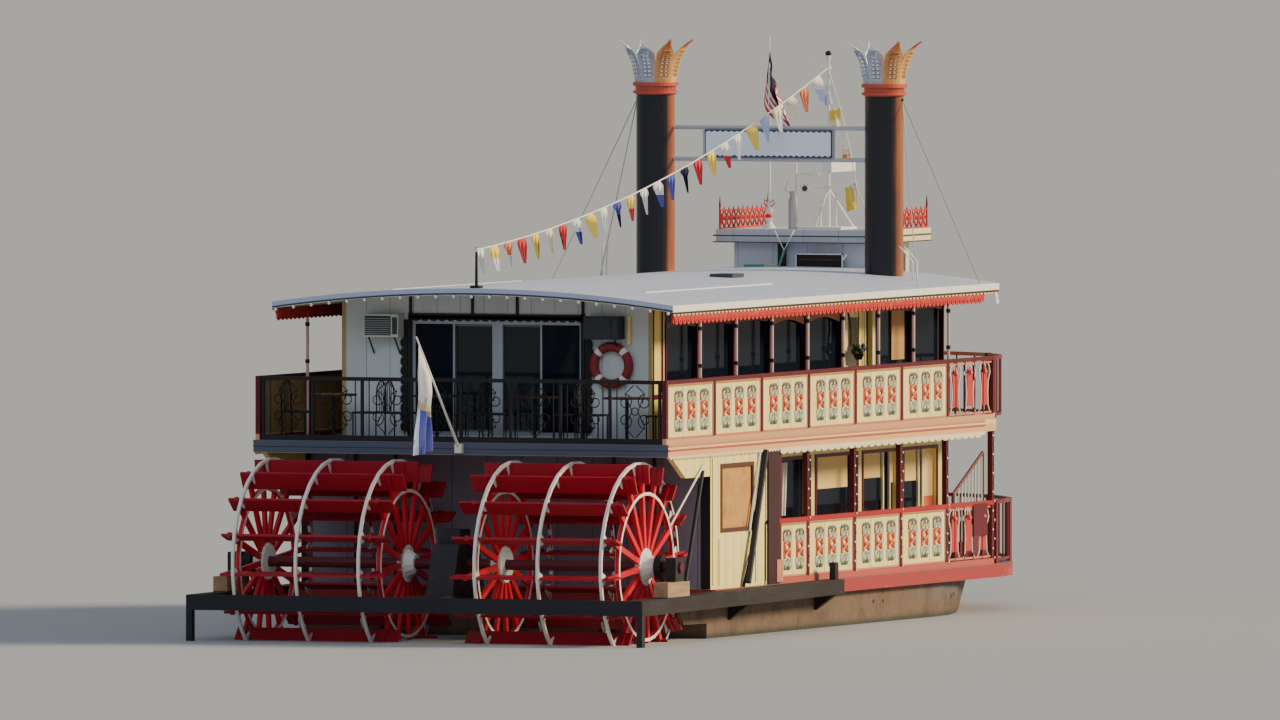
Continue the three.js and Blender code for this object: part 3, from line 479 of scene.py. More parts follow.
galvanised = wear(Finish("galvanised_steel", (0.50, 0.52, 0.55), 0.38, 0.75), 0.25, 3, (0.3, 0.3, 0.32), 0.42)
white_paint = wear(Finish("white_paint", (0.82, 0.81, 0.77), 0.45), 0.25, 2, (0.5, 0.45, 0.38))
black_iron = wear(Finish("black_iron", (0.018, 0.018, 0.022), 0.42, 0.3), 0.2, 3, (0.06, 0.05, 0.05))
greasy_steel = wear(Finish("greasy_steel", (0.035, 0.035, 0.042), 0.5, 0.4), 0.5, 3, (0.14, 0.08, 0.05))
pink_tube = wear(Finish("pink_tube_paint", (0.66, 0.44, 0.40), 0.45), 0.2, 3)
x, y, z = pink_tube.marks()
tube_colour = pink_tube.fed_colour()
pink_tube.feed(colour=pink_tube.mix(z.over(5.108, 0.002), tube_colour, (0.48, 0.035, 0.03)))
dark_glass = Finish("dark_glass", (0.006, 0.010, 0.020), 0.05, alpha=0.95)
dark_glass.shader.inputs["Specular IOR Level"].default_value = 0.06
door_metal = wear(Finish("door_metal", (0.38, 0.42, 0.50), 0.4, 0.3), 0.2, 3, (0.2, 0.2, 0.24))

# %% [markdown]
# Each sliding door is one solid with a metal border round its glass. The border is found by the
# distance from the leaf's edges, so the frame and the pane share one finish.

# %% Sliding door glass
sliding_glass = Finish("sliding_door_glass", (0.012, 0.018, 0.024), 0.06, alpha=0.5)
x, y, z = sliding_glass.marks()
border = (abs(abs(y) - 0.4175).over(0.3225, 0.002)).most(abs(z - 4.165).over(0.835, 0.002))
sliding_glass.feed(colour=sliding_glass.mix(border, sliding_glass.colour, (0.16, 0.18, 0.22)),
                   alpha=border * 0.05 + 0.95, roughness=border * 0.34 + 0.06)

# %% Dress the solids
DRESS = {
    "hull": hull_paint, "main_deck": guard_paint, "wheel_guard_frame": timber,
    "centre_bearing_stand": greasy_steel, "engine_block": greasy_steel,
    "engine_room_aft_wall": aft_bulkhead, "main_cabin_forward_wall": cream_end, "bow_rail": maroon,
    "bow_steps": maroon, "upper_deck": deck_paint, "upper_rail_aft": black_iron,
    "upper_rail_forward": maroon, "upper_cabin_aft_wall": pale_aft, "aft_door_frame": door_metal,
    "upper_cabin_forward_wall": cream_end, "roof": roof_paint, "sign_frame": galvanised,
    "pilothouse_walls": pilot_wall_sun_and_shade, "pilothouse_door": maroon, "pilothouse_roof": pilot_wall_sun_and_shade,
    "radio_mast": white_paint, "horn_pipe": galvanised, "flag_staff_upper": white_paint,
    "aft_roof_mast": black_iron, "stern_flagstaff": white_paint,
}
ON_BOTH_SIDES = {
    "paddle_wheel": wheel_paint, "rudder": greasy_steel, "engine_room_side": cream_side,
    "main_cabin_side": cream_side, "main_cabin_glass": dark_glass, "main_door": maroon,
    "main_rail": main_rail_paint, "upper_rail": upper_rail_paint, "upper_cabin_side": upper_side,
    "upper_cabin_glass": dark_glass, "side_door": cream_side, "aft_door": sliding_glass,
    "eave_posts": pink_tube, "stack": stack_paint, "stack_crown": crown_paint,
    "pilothouse_cresting": bright_red,
}
for name, finish in ON_BOTH_SIDES.items():
    DRESS[name + "_starboard"] = finish
    DRESS[name + "_port"] = finish


def dress(obj, finish):
    obj.data.materials.clear()
    obj.data.materials.append(finish.material)


for name, finish in DRESS.items():
    dress(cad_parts[name], finish)
print(
    "dressed", len(DRESS), "of", len(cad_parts), "solids; left",
    sorted(set(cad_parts) - set(DRESS))
)

# %% [markdown]
# ## A workbench for the trim
#
# What is too small for the solids is made here: carved ornaments, window trim, ironwork, flags. Most of
# it is built from a few shapes, so one class holds the tools. Each tool is a bmesh operator that adds
# to the piece on the bench and paints what it made. A pattern is made once and stamped many times.

# %% The workbench
def oriented(start, end):
    """A matrix that stands a shape made along Z on the line from start to end, at its middle."""
    line = end - start
    return Matrix.Translation((start + end) / 2) @ line.to_track_quat("Z", "Y").to_matrix().to_4x4()


class Piece:
    """Something on the workbench. Places are given from the boat's marks."""

    def __init__(self, name, origin=(0, 0, 0)):
        self.name, self.mesh, self.finishes, self.origin = name, bmesh.new(), [], origin

    def spot(self, place):
        return at(*place) if self.origin is not None else Vector(place)

    def number(self, finish):
        """The finish's place in the piece's list, where it is added if it is new."""
        if finish not in self.finishes:
            self.finishes.append(finish)
        return self.finishes.index(finish)

    def paint(self, verts, finish):
        for face in {face for vert in verts for face in vert.link_faces}:
            face.material_index = self.number(finish)
        return verts

    def block(self, x0, x1, y0, y1, z0, z1, finish):
        low, high = self.spot((x0, y0, z0)), self.spot((x1, y1, z1))
        size = Matrix.Diagonal((*(high - low), 1))
        made = bmesh.ops.create_cube(self.mesh, size=1, matrix=Matrix.Translation((low + high) / 2) @ size)
        return self.paint(made["verts"], finish)

    def rod(self, start, end, radius, finish, tip=None, sides=8):
        a, b = self.spot(start), self.spot(end)
        made = bmesh.ops.create_cone(
            self.mesh, cap_ends=True, segments=sides, radius1=radius,
            radius2=radius if tip is None else tip, depth=(b - a).length, matrix=oriented(a, b)
        )
        return self.paint(made["verts"], finish)

    def ball(self, centre, sizes, finish, rings=6, sides=10):
        made = bmesh.ops.create_uvsphere(
            self.mesh, u_segments=sides, v_segments=rings, radius=1,
            matrix=Matrix.Translation(self.spot(centre)) @ Matrix.Diagonal((*sizes, 1))
        )
        return self.paint(made["verts"], finish)

    def absorb(self, curve, finish, matrix=None):
        """Turns a curve into mesh and adds it."""
        holder = bpy.data.objects.new("bench_curve", curve)
        data = bpy.data.meshes.new_from_object(holder)
        bpy.data.objects.remove(holder)
        bpy.data.curves.remove(curve)
        if matrix:
            data.transform(matrix)
        before = len(self.mesh.verts)
        self.mesh.from_mesh(data)
        bpy.data.meshes.remove(data)
        self.mesh.verts.ensure_lookup_table()
        made = self.mesh.verts[before:]
        bmesh.ops.remove_doubles(self.mesh, verts=made, dist=1e-5)
        self.mesh.verts.ensure_lookup_table()
        made = self.mesh.verts[before:]
        bmesh.ops.recalc_face_normals(self.mesh, faces=list({f for v in made for f in v.link_faces}))
        return self.paint(made, finish)

    def wire(self, places, radius, finish, closed=False, sides=2):
        """A bent rod through the given places."""
        curve = bpy.data.curves.new("bench_curve", "CURVE")
        curve.dimensions, curve.bevel_depth, curve.bevel_resolution = "3D", radius, sides - 2
        curve.use_fill_caps = True
        spline = curve.splines.new("POLY")
        spline.points.add(len(places) - 1)
        for point, place in zip(spline.points, places):
            point.co = (*self.spot(place), 1)
        spline.use_cyclic_u = closed
        return self.absorb(curve, finish)

    def plate(self, outlines, place, across, up, thick, finish):
        """A flat board sawn to an outline, with holes where further outlines lie inside the first."""
        curve = bpy.data.curves.new("bench_curve", "CURVE")
        curve.dimensions, curve.fill_mode, curve.extrude = "2D", "BOTH", thick / 2
        for outline in outlines:
            spline = curve.splines.new("POLY")
            spline.points.add(len(outline) - 1)
            for point, (u, v) in zip(spline.points, outline):
                point.co = (u, v, 0, 1)
            spline.use_cyclic_u = True
        across, up = Vector(across).normalized(), Vector(up).normalized()
        turn = Matrix((across, up, across.cross(up))).transposed().to_4x4()
        return self.absorb(curve, finish, Matrix.Translation(self.spot(place)) @ turn)

    def stamp(self, pattern, matrices):
        """Adds copies of a pattern, each moved by a matrix."""
        data = bpy.data.meshes.new("bench_pattern")
        pattern.mesh.to_mesh(data)
        numbers = [self.number(finish) for finish in pattern.finishes]
        for face in data.polygons:
            face.material_index = numbers[face.material_index]
        for matrix in matrices:
            copy = data.copy()
            copy.transform(matrix)
            self.mesh.from_mesh(copy)
            bpy.data.meshes.remove(copy)
        bpy.data.meshes.remove(data)

    def mirrored(self):
        """Adds the same on the port side, for what was made on the starboard side."""
        copy = bmesh.ops.duplicate(
            self.mesh, geom=self.mesh.verts[:] + self.mesh.edges[:] + self.mesh.faces[:]
        )["geom"]
        verts = [part for part in copy if isinstance(part, bmesh.types.BMVert)]
        bmesh.ops.scale(self.mesh, vec=(1, -1, 1), verts=verts)
        bmesh.ops.reverse_faces(
            self.mesh, faces=[part for part in copy if isinstance(part, bmesh.types.BMFace)]
        )
        return self

    def done(self, slot, body="boat", smooth=False, stands_for=()):
        """Puts the piece aboard: it rides on a body and takes its colours with it."""
        data = bpy.data.meshes.new(self.name)
        self.mesh.to_mesh(data)
        self.mesh.free()
        if smooth:
            data.shade_smooth()
            data.set_sharp_from_angle(angle=math.radians(40))
        for finish in self.finishes:
            data.materials.append(finish.material)
        obj = bpy.data.objects.new(self.name, data)
        bpy.context.scene.collection.objects.link(obj)
        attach(obj, body)
        if stands_for:
            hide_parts(*stands_for)
        print(f"{self.name:28s} {sum(len(face.vertices) - 2 for face in data.polygons):7d} triangles")
        return obj


def pattern():
    """A piece built round the origin, to be stamped."""
    return Piece("pattern", origin=None)


def move(x, y, z):
    return Matrix.Translation(at(x, y, z))


def arc(centre, radii, start, end, count):
    """Points along a part of an ellipse, angles in degrees."""
    angles = [math.radians(start + (end - start) * i / (count - 1)) for i in range(count)]
    return [(centre[0] + radii[0] * math.cos(a), centre[1] + radii[1] * math.sin(a)) for a in angles]


ACROSS, UP, FORWARD = (0, 1, 0), (0, 0, 1), (1, 0, 0)
print("workbench ready")

# %% [markdown]
# ## Carved rail panels
#
# The cream boards of both rails carry a repeated ornament: a braided red panel, pale loops above and
# below it and dark buds at both ends. A carver would cut them with a router and glue them on. Here one
# ornament is made round the origin, facing starboard, and stamped three times on every bay. Pale
# strips stand between the ornaments.

# %% Rail ornament
bud_green = Finish("bud_green", (0.12, 0.15, 0.10), 0.5)
pale_green = Finish("pale_green_trim", (0.62, 0.70, 0.52), 0.5)
strip_cream = Finish("strip_cream", (0.86, 0.84, 0.56), 0.5)
orange_red = Finish("orange_red_trim", (0.60, 0.12, 0.06), 0.45)
salmon = Finish("salmon_trim", (0.60, 0.22, 0.14), 0.5)
yellow_trim = Finish("yellow_trim", (0.78, 0.60, 0.18), 0.5)
cream_trim = wear(Finish("cream_trim", (0.83, 0.74, 0.46), 0.5), 0.2)
RAIL_FACE = -3.545
ORNAMENTS, FIRST_ORNAMENT, ORNAMENT_STEP = 3, 0.53, 0.555

ornament = pattern()
for side in (-1, 1):
    braid = [(side * 0.115 * math.cos(1.5 * math.pi * i / 9), 0, -0.125 + 0.25 * i / 9) for i in range(10)]
    ornament.wire(braid, 0.026, orange_red, sides=3)
    ornament.rod((side * 0.135, 0, -0.13), (side * 0.135, 0, 0.13), 0.014, orange_red, sides=5)
    for end in (-1, 1):
        loop = [(u, 0, v) for u, v in arc((side * 0.075, end * 0.205), (0.055, 0.062), 0, 360, 13)[:-1]]
        ornament.wire(loop, 0.017, pale_green, closed=True)
        ornament.ball((side * 0.085, 0, end * 0.300), (0.060, 0.014, 0.034), bud_green)
        ornament.rod((side * 0.165, 0, end * 0.29), (side * 0.165, 0, end * 0.14), 0.009, bud_green, sides=5)
for end in (-1, 1):
    ornament.rod((0, 0, end * 0.14), (0, 0, end * 0.27), 0.018, bud_green, sides=6)
    ornament.rod((0, 0, end * 0.28), (0, 0, end * 0.335), 0.030, bud_green, tip=0.004, sides=6)

UPPER_POSTS = [0.055 + BAY * k for k in range(8)]
MAIN_POSTS = [4.33, 4.98] + [BAY * k + 0.01 for k in range(3, 8)]
UPPER_PANEL, MAIN_PANEL = (DECK_2 + 0.085, 4.15), (DECK_1 + 0.095, 1.765)


def ornament_places(posts, low, high):
    """Three ornaments to a full bay, fewer where it is shorter."""
    for left, right in zip(posts, posts[1:]):
        count = min(ORNAMENTS, int((right - left) / ORNAMENT_STEP))
        first = FIRST_ORNAMENT if count == ORNAMENTS else (right - left - ORNAMENT_STEP * (count - 1)) / 2
        for i in range(count):
            yield left + first + ORNAMENT_STEP * i, (low + high) / 2


carvings = Piece("rail_carvings")
for posts, (low, high) in ((UPPER_POSTS[:7], UPPER_PANEL), (MAIN_POSTS[:6], MAIN_PANEL)):
    places = list(ornament_places(posts, low, high))
    carvings.stamp(ornament, [move(x, RAIL_FACE - 0.010, z) for x, z in places])
    for x, z in places:
        edge = x + ORNAMENT_STEP / 2
        carvings.block(
            edge - 0.045, edge + 0.045, RAIL_FACE - 0.008, RAIL_FACE, low + 0.05, high - 0.06,
            strip_cream
        )
carvings.mirrored().done("cream", smooth=True)

# %% [markdown]
# Each bay has a thin salmon frame. Its upper edge is cut in small yellow teeth, and a row of long dark
# slots under the board drains the deck.

# %% Panel frames and teeth
dark_slot = Finish("dark_slot", (0.045, 0.022, 0.020), 0.7)
frames = Piece("rail_panel_frames")
tooth = pattern()
tooth.rod((0, 0, 0), (0, 0, -0.032), 0.022, yellow_trim, tip=0.003, sides=4)
for posts, half_post, (low, high) in (
    (UPPER_POSTS[:7], 0.04, UPPER_PANEL), (MAIN_POSTS[:6], 0.05, MAIN_PANEL)
):
    for x, z in ornament_places(posts, low, high):
        frames.block(x - 0.215, x + 0.215, RAIL_FACE - 0.006, RAIL_FACE, low - 0.062, low - 0.018, dark_slot)
    for left, right in zip(posts, posts[1:]):
        left, right = left + half_post, right - half_post
        for x0, x1, z0, z1 in (
            (left, left + 0.035, low, high), (right - 0.02, right, low, high),
            (left, right, low, low + 0.03)
        ):
            frames.block(x0, x1, RAIL_FACE - 0.014, RAIL_FACE, z0, z1, salmon)
        frames.block(left, right, RAIL_FACE - 0.010, RAIL_FACE, high - 0.022, high, salmon)
        teeth = int((right - left) / 0.062)
        frames.stamp(
            tooth,
            [
                move(left + (right - left) * (i + 0.5) / teeth, RAIL_FACE - 0.004, high - 0.022)
                for i in range(teeth)
            ]
        )
frames.mirrored().done("maroon")

# %% [markdown]
# The last bay of each rail has no board. White scrolls of bent iron stand in it, round three red bars.

# %% Ironwork of the last bays
ironwork = Piece("rail_ironwork_bays")
for left, right, low, high in (
    (12.54, 14.52, UPPER_PANEL[0], UPPER_PANEL[1]), (12.50, 14.46, MAIN_PANEL[0], MAIN_PANEL[1])
):
    step, tall = (right - left) / 3, high - low
    for i in range(3):
        middle = left + step * (i + 0.5)
        ironwork.block(
            middle - 0.12, middle + 0.12, -3.54, -3.525, low + 0.17 * tall, high - 0.22 * tall,
            bright_red
        )
        ironwork.rod(
            (middle, -3.5325, high - 0.22 * tall), (middle, -3.5325, high - 0.08 * tall), 0.07,
            bright_red, tip=0.01, sides=8
        )
        for side in (-1, 1):
            lyre = [
                (0.27, 0.02), (0.17, 0.15), (0.145, 0.40), (0.17, 0.62), (0.25, 0.78), (0.20, 0.92),
                (0.08, 0.98)
            ]
            ironwork.wire([(middle + side * u, -3.5325, low + v * tall) for u, v in lyre], 0.013, white_paint)
        curl = arc((middle, high - 0.10), (0.055, 0.055), 0, 360, 11)[:-1]
        ironwork.wire([(x, -3.5325, z) for x, z in curl], 0.010, white_paint, closed=True)
    for z in (low + 0.03, high - 0.03):
        ironwork.block(left, right, -3.545, -3.52, z - 0.015, z + 0.015, salmon)
ironwork.mirrored().done("white")

# %% [markdown]
# ## Fretwork under the decks
#
# A scallop is the lower half of an oval board. A row of them hangs below the upper deck all along both
# sides, and two more rows hang under the roof.

# %% Scalloped valances
def scallop(half, drop, thick, finish, hole=None):
    piece = pattern()
    rim = arc((0, 0), (half, drop), 180, 360, 9)
    holes = [arc((0, -drop * 0.45), (hole, hole), 0, 360, 7)[:-1]] if hole else []
    piece.plate([rim] + holes, (0, 0, 0), FORWARD, UP, thick, finish)
    return piece


brick_red = wear(Finish("brick_red_trim", (0.50, 0.10, 0.075), 0.5), 0.25)
VALANCE_FROM, VALANCE_TO, VALANCE_STEP = 4.90, 14.05, 0.30
valance = Piece("upper_deck_valance")
valance.block(0.02, VALANCE_TO, -3.618, -3.6, 3.075, 3.100, brick_red)
valance.block(0.02, VALANCE_TO, -3.612, -3.6, 3.140, 3.172, salmon)
valance.block(VALANCE_FROM, VALANCE_TO, -3.606, -3.592, 2.930, 2.985, cream_trim)
valance.stamp(
    scallop(0.145, 0.045, 0.016, cream_trim),
    [
        move(VALANCE_FROM + 0.15 + VALANCE_STEP * i, -3.599, 2.932)
        for i in range(int((VALANCE_TO - VALANCE_FROM) / VALANCE_STEP))
    ]
)
valance.stamp(
    scallop(0.055, 0.045, 0.014, cream_trim), [move(0.12 + 0.12 * i, -3.599, 2.984) for i in range(40)]
)
valance.mirrored().done("cream")

fringe_cream = Finish("fringe_cream", (0.90, 0.70, 0.32), 0.5)
fringe_red = wear(Finish("fringe_red", (0.56, 0.030, 0.025), 0.5), 0.3, 6, (0.75, 0.40, 0.20))
fringe = Piece("eave_fringe")
fringe.block(0.52, 14.98, -3.484, -3.474, 5.262, 5.292, dark_slot)
fringe.stamp(
    scallop(0.075, 0.060, 0.012, fringe_cream),
    [move(0.62 + 0.16 * i, -3.468, 5.290) for i in range(90)]
)
fringe.block(0.60, 14.40, -3.464, -3.450, 5.19, 5.232, fringe_red)
fringe.stamp(
    scallop(0.080, 0.105, 0.014, fringe_red, hole=0.020),
    [move(0.72 + 0.175 * i, -3.457, 5.192) for i in range(78)]
)
for u, v in ((0.0, 0.0), (0.10, -0.05), (0.17, -0.14)):
    fringe.ball((14.90 + 0.5 * u, -3.452, 5.24 + v), (0.07, 0.02, 0.05), white_paint)
fringe.mirrored().done("red")

# %% [markdown]
# ## Windows
#
# A window is a hole in the solid wall with glass behind it. What a joiner would add is made here: a
# frame round the opening, mullions, a carved header with a curved lower edge, and the roller blinds.

# %% Upper windows
UPPER_WINDOWS = [
    (2.17, 3.497), (3.597, 5.084), (5.184, 6.671), (6.771, 8.258), (8.358, 9.845), (11.532, 13.019),
    (13.119, 14.44)
]
WALL_FACE = -2.70
maroon_trim = Finish("maroon_trim", (0.12, 0.007, 0.013), 0.42)
swag_dark = Finish("swag_dark", (0.20, 0.09, 0.06), 0.55)
swag_orange = Finish("swag_orange", (0.50, 0.17, 0.06), 0.55)
blind_brown = Finish("blind_brown", (0.52, 0.27, 0.10), 0.7)
blind_tan = Finish("blind_yellow", (0.80, 0.58, 0.22), 0.7)
plant_green = Finish("plant_green", (0.035, 0.055, 0.025), 0.7)
window_brown = Finish("window_brown", (0.10, 0.035, 0.018), 0.6)
upper_trim = Piece("upper_window_trim")


def framed(piece, x0, x1, z0, z1, face, width, proud, finish):
    """Four boards round an opening, on the outside of a side wall."""
    for a, b, c, d in ((x0 - width, x0, z0 - width, z1 + width), (x1, x1 + width, z0 - width, z1 + width),
                       (x0, x1, z0 - width, z0), (x0, x1, z1, z1 + width)):
        piece.block(a, b, face - proud, face, c, d, finish)


for x0, x1 in UPPER_WINDOWS:
    framed(upper_trim, x0, x1, 3.99, 5.06, WALL_FACE, 0.038, 0.016, maroon_trim)
    middle, half = (x0 + x1) / 2, (x1 - x0) / 2
    drop, finish = (0.14, swag_orange) if x0 in (6.771, 8.358) else (0.05, swag_dark)
    swag = [(-half, 0.03)] + [
        (half * (i / 5 - 1), -drop + 0.7 * drop * math.sin(math.pi * i / 10)) for i in range(11)
    ] + [(half, 0.03)]
    upper_trim.plate([swag], (middle, -2.682, 5.03), FORWARD, UP, 0.014, finish)
framed(upper_trim, 10.95, 11.25, 3.99, 5.06, WALL_FACE, 0.03, 0.016, white_paint)
upper_trim.rod((10.25, -2.86, 5.30), (10.25, -2.86, 4.50), 0.008, black_iron, sides=5)
upper_trim.rod((10.25, -2.86, 4.26), (10.25, -2.86, 4.36), 0.05, black_iron, tip=0.10, sides=12)
upper_trim.wire(
    [(10.05, -2.80, 5.30), (9.93, -2.80, 5.05), (10.02, -2.82, 4.75), (9.96, -2.83, 4.50)], 0.018,
    window_brown
)
for i in range(9):
    a = math.tau * i / 9
    upper_trim.ball(
        (10.25 + 0.10 * math.cos(a), -2.86 + 0.08 * math.sin(a), 4.40 + 0.04 * (i % 3)),
        (0.055, 0.04, 0.05), plant_green
    )
upper_trim.block(12.24, 12.81, -2.66, -2.645, 4.2, 5.06, blind_brown)
for x in (1.60, 2.03):
    upper_trim.block(x, x + 0.03, -2.714, -2.70, DECK_2 + 0.01, 5.36, black_iron if x < 2 else cream_trim)
for x0 in (1.98, 3.547, 5.134, 6.721, 8.308, 9.895, 11.482, 13.069):
    upper_trim.block(x0 - 0.012, x0 + 0.012, -2.724, -2.70, 3.95, 5.36, maroon_trim)
upper_trim.block(1.60, 14.48, -2.722, -2.70, 3.86, 3.93, maroon_trim)
upper_trim.mirrored().done("maroon")

# %% Main windows
MAIN_WINDOWS = [(5.35, 6.35), (6.65, 8.45), (8.75, 10.55), (10.85, 12.35), (12.65, 14.15)]
BLINDS = [
    (8.96, 10.28, 2.18), (10.85, 11.75, 2.29), (12.14, 12.35, 2.19), (12.86, 13.36, 2.19),
    (13.60, 14.15, 1.92)
]
main_trim = Piece("main_window_trim")
curtain = Finish("white_curtain", (0.72, 0.70, 0.70), 0.8)
seat_yellow = Finish("seat_yellow", (0.85, 0.60, 0.14), 0.7)
seat_orange = Finish("seat_orange", (0.62, 0.14, 0.04), 0.7)
for x0, x1 in MAIN_WINDOWS:
    framed(main_trim, x0, x1, 1.75, 2.70, WALL_FACE, 0.055, 0.018, maroon_trim)
for x in (6.95, 8.35, 11.80, 12.10, 13.40, 13.58):
    main_trim.block(x - 0.025, x + 0.025, -2.690, -2.655, 1.75, 2.70, cream_trim)
for x0, x1, low in BLINDS:
    main_trim.block(x0, x1, -2.650, -2.638, low, 2.70, blind_tan)
main_trim.block(13.60, 14.15, -2.650, -2.636, 1.75, 1.92, orange_red)
for x0, x1, top, finish in (
    (11.50, 11.85, 2.02, seat_yellow), (12.00, 12.35, 2.08, seat_orange),
    (9.2, 9.5, 1.98, window_brown), (7.9, 8.3, 2.0, window_brown)
):
    main_trim.block(x0, x1, -2.46, -2.30, 1.75, top, finish)
for x in (7.30, 7.42, 8.32):
    main_trim.rod((x, -2.655, 1.80), (x + 0.05, -2.655, 2.66), 0.035, curtain, tip=0.05, sides=6)
main_trim.block(4.30, 4.36, -3.56, -3.50, DECK_1, 1.80, maroon_trim)
main_trim.block(4.36, 4.93, -3.56, -3.50, 1.768, 1.83, bright_red)
main_trim.block(4.36, 4.93, RAIL_FACE, -3.52, MAIN_PANEL[0], 1.765, cream_trim)
main_trim.mirrored().done("maroon")

# %% [markdown]
# ## Eave posts
#
# The roof's edge stands on pink pipes. Two dark clamps on each hold the cables of the light strings.

# %% Post clamps
clamps = Piece("eave_post_clamps")
for k in range(8):
    x = 1.85 + 1.572 * k
    for z in (4.40, 5.0):
        clamps.rod((x, -3.42, z - 0.03), (x, -3.42, z + 0.03), 0.038, black_iron, sides=10)
    clamps.rod((x, -3.42, DECK_2 + 0.001), (x, -3.42, DECK_2 + 0.03), 0.055, maroon_trim, sides=10)
clamps.mirrored().done("machinery")

# %% [markdown]
# Strings of small white lights climb the main deck's maroon posts. The bow's only stair is on the
# starboard side. Its handrails have white balusters, and a blank maroon board hangs on the rail near it.

# %% Post lights and bow trim
lights = Piece("post_lights")
bead = pattern()
bead.ball((0, 0, 0), (0.020, 0.014, 0.020), white_paint, rings=4, sides=6)
for k in range(3, 8):
    x = BAY * k + 0.01
    for i in range(14):
        z = DECK_1 + 0.10 + 0.155 * i
        lights.stamp(bead, [move(x + 0.035 * (-1) ** i, -3.585, z)])
lights.mirrored().done("white")

bow_trim = Piece("bow_trim")
bow_trim.block(13.62, 14.24, -3.575, -3.550, 1.27, 1.80, maroon_trim)
STAIR_SLOPE = (2.56 - 1.90) / (16.46 - 15.0)
for i in range(9):
    x = 15.12 + 0.15 * i
    tread = 0.95 + 0.16 * int((x - 14.95) / 0.30)
    for y in (-2.66, -1.94):
        bow_trim.rod((x, y, tread), (x, y, 1.90 + STAIR_SLOPE * (x - 15.0)), 0.014, white_paint, sides=6)
bow_trim.done("maroon")

# %% [markdown]
# ## Wheel ironwork
#
# White gusset plates tie every plank to its three hoops. They turn with the wheel, so they ride on the
# wheel's body. One plate is made at the top of the wheel and stamped round it, sixteen times a hoop.

# %% Gussets and cranks
ARM_TURN = math.radians(-5.6)
gusset = pattern()
gusset.plate(
    [[(0.0, 1.632), (0.0, 1.46), (0.03, 1.46), (0.11, 1.632)]], (0.020, 0, 0), FORWARD, UP, 0.014,
    white_paint
)
gusset.plate(
    [[(0.0, 1.632), (-0.11, 1.632), (-0.03, 1.46), (0.0, 1.46)]], (-0.020, 0, 0), FORWARD, UP, 0.014,
    white_paint
)
for name, side in (("starboard", -1), ("port", 1)):
    gussets = Piece("wheel_gussets_" + name)
    places = [
        Matrix.Translation((AXLE.x, side * y, AXLE.z)) @ Matrix.Rotation(
            ARM_TURN + math.tau * i / 16, 4, "Y"
        )
        for y in (3.185, 2.095, 1.005) for i in range(16)
    ]
    gussets.stamp(gusset, places)
    gussets.done("white", body=f"paddle_wheel_{name}_body")
    crank = pattern()
    crank.rod((0, -0.055, 0), (0, 0.055, 0), 0.20, black_iron, sides=16)
    crank.block(-0.09, 0.09, -0.045, 0.045, -0.80, 0.05, maroon_trim)
    crank.rod((0, -0.055, -0.74), (0, 0.055, -0.74), 0.13, black_iron, sides=12)
    aboard = Piece("wheel_crank_" + name)
    aboard.stamp(
        crank,
        [Matrix.Translation((AXLE.x, side * 3.56, AXLE.z)) @ Matrix.Rotation(math.radians(-38), 4, "Y")]
    )
    aboard.done("machinery", body=f"paddle_wheel_{name}_body")

# %% [markdown]
# The leaning poles and braces by the engine room, and what hangs on the bulkhead.

# %% Bulkhead details
bulkhead = Piece("stern_bulkhead_fittings")
rust_wood = wear(Finish("red_brown_wood", (0.040, 0.010, 0.011), 0.6), 0.4, 3, (0.03, 0.02, 0.02))
board_tan = wear(Finish("weathered_board", (0.58, 0.29, 0.085), 0.7), 0.6, 2.4, (0.13, 0.06, 0.025))
for side in (-1, 1):
    low, high = sorted((side * 3.40, side * 3.56))
    bulkhead.block(1.925, 1.95, low, high, 0.80, 2.97, black_iron)
bulkhead.rod((1.47, -3.615, 2.72), (0.73, -3.615, 0.98), 0.035, black_iron)
bulkhead.rod((1.57, -3.60, 2.82), (0.11, -3.60, 1.88), 0.016, white_paint)
for y in (-2.6, -1.9, 1.9, 2.6):
    bulkhead.rod((1.90, y, 0.80), (1.90, y, 2.96), 0.03, greasy_steel)
framed(bulkhead, 2.44, 3.76, 1.76, 2.74, -3.545, 0.065, 0.03, window_brown)
bulkhead.block(2.44, 3.76, -3.540, -3.50, 1.76, 2.74, board_tan)
bulkhead.block(4.42, 4.90, -3.590, -3.56, 0.795, 2.975, rust_wood)
bulkhead.block(4.77, 5.03, -3.600, -3.59, 0.82, 1.18, salmon)
bulkhead.rod((3.34, -3.66, 0.86), (4.20, -3.625, 2.97), 0.055, black_iron)
bulkhead.rod((3.29, -3.60, 0.80), (3.62, -3.60, 1.30), 0.025, black_iron, sides=6)
bulkhead.rod((3.55, -3.60, 1.69), (4.06, -3.585, 2.97), 0.020, white_paint)
for x, z0, z1 in ((2.02, 0.85, 2.9), (4.35, 0.85, 2.9), (3.9, 0.85, 1.6), (2.3, 0.85, 1.6)):
    bulkhead.block(x, x + 0.014, -3.566, -3.56, z0, z1, window_brown)
bulkhead.done("machinery")

# %% [markdown]
# ## The stern gallery
#
# Two wide glass doors open on the after deck. Black fretwork frames them, an air conditioner sits in
# the wall on each side, and a life ring hangs to starboard.

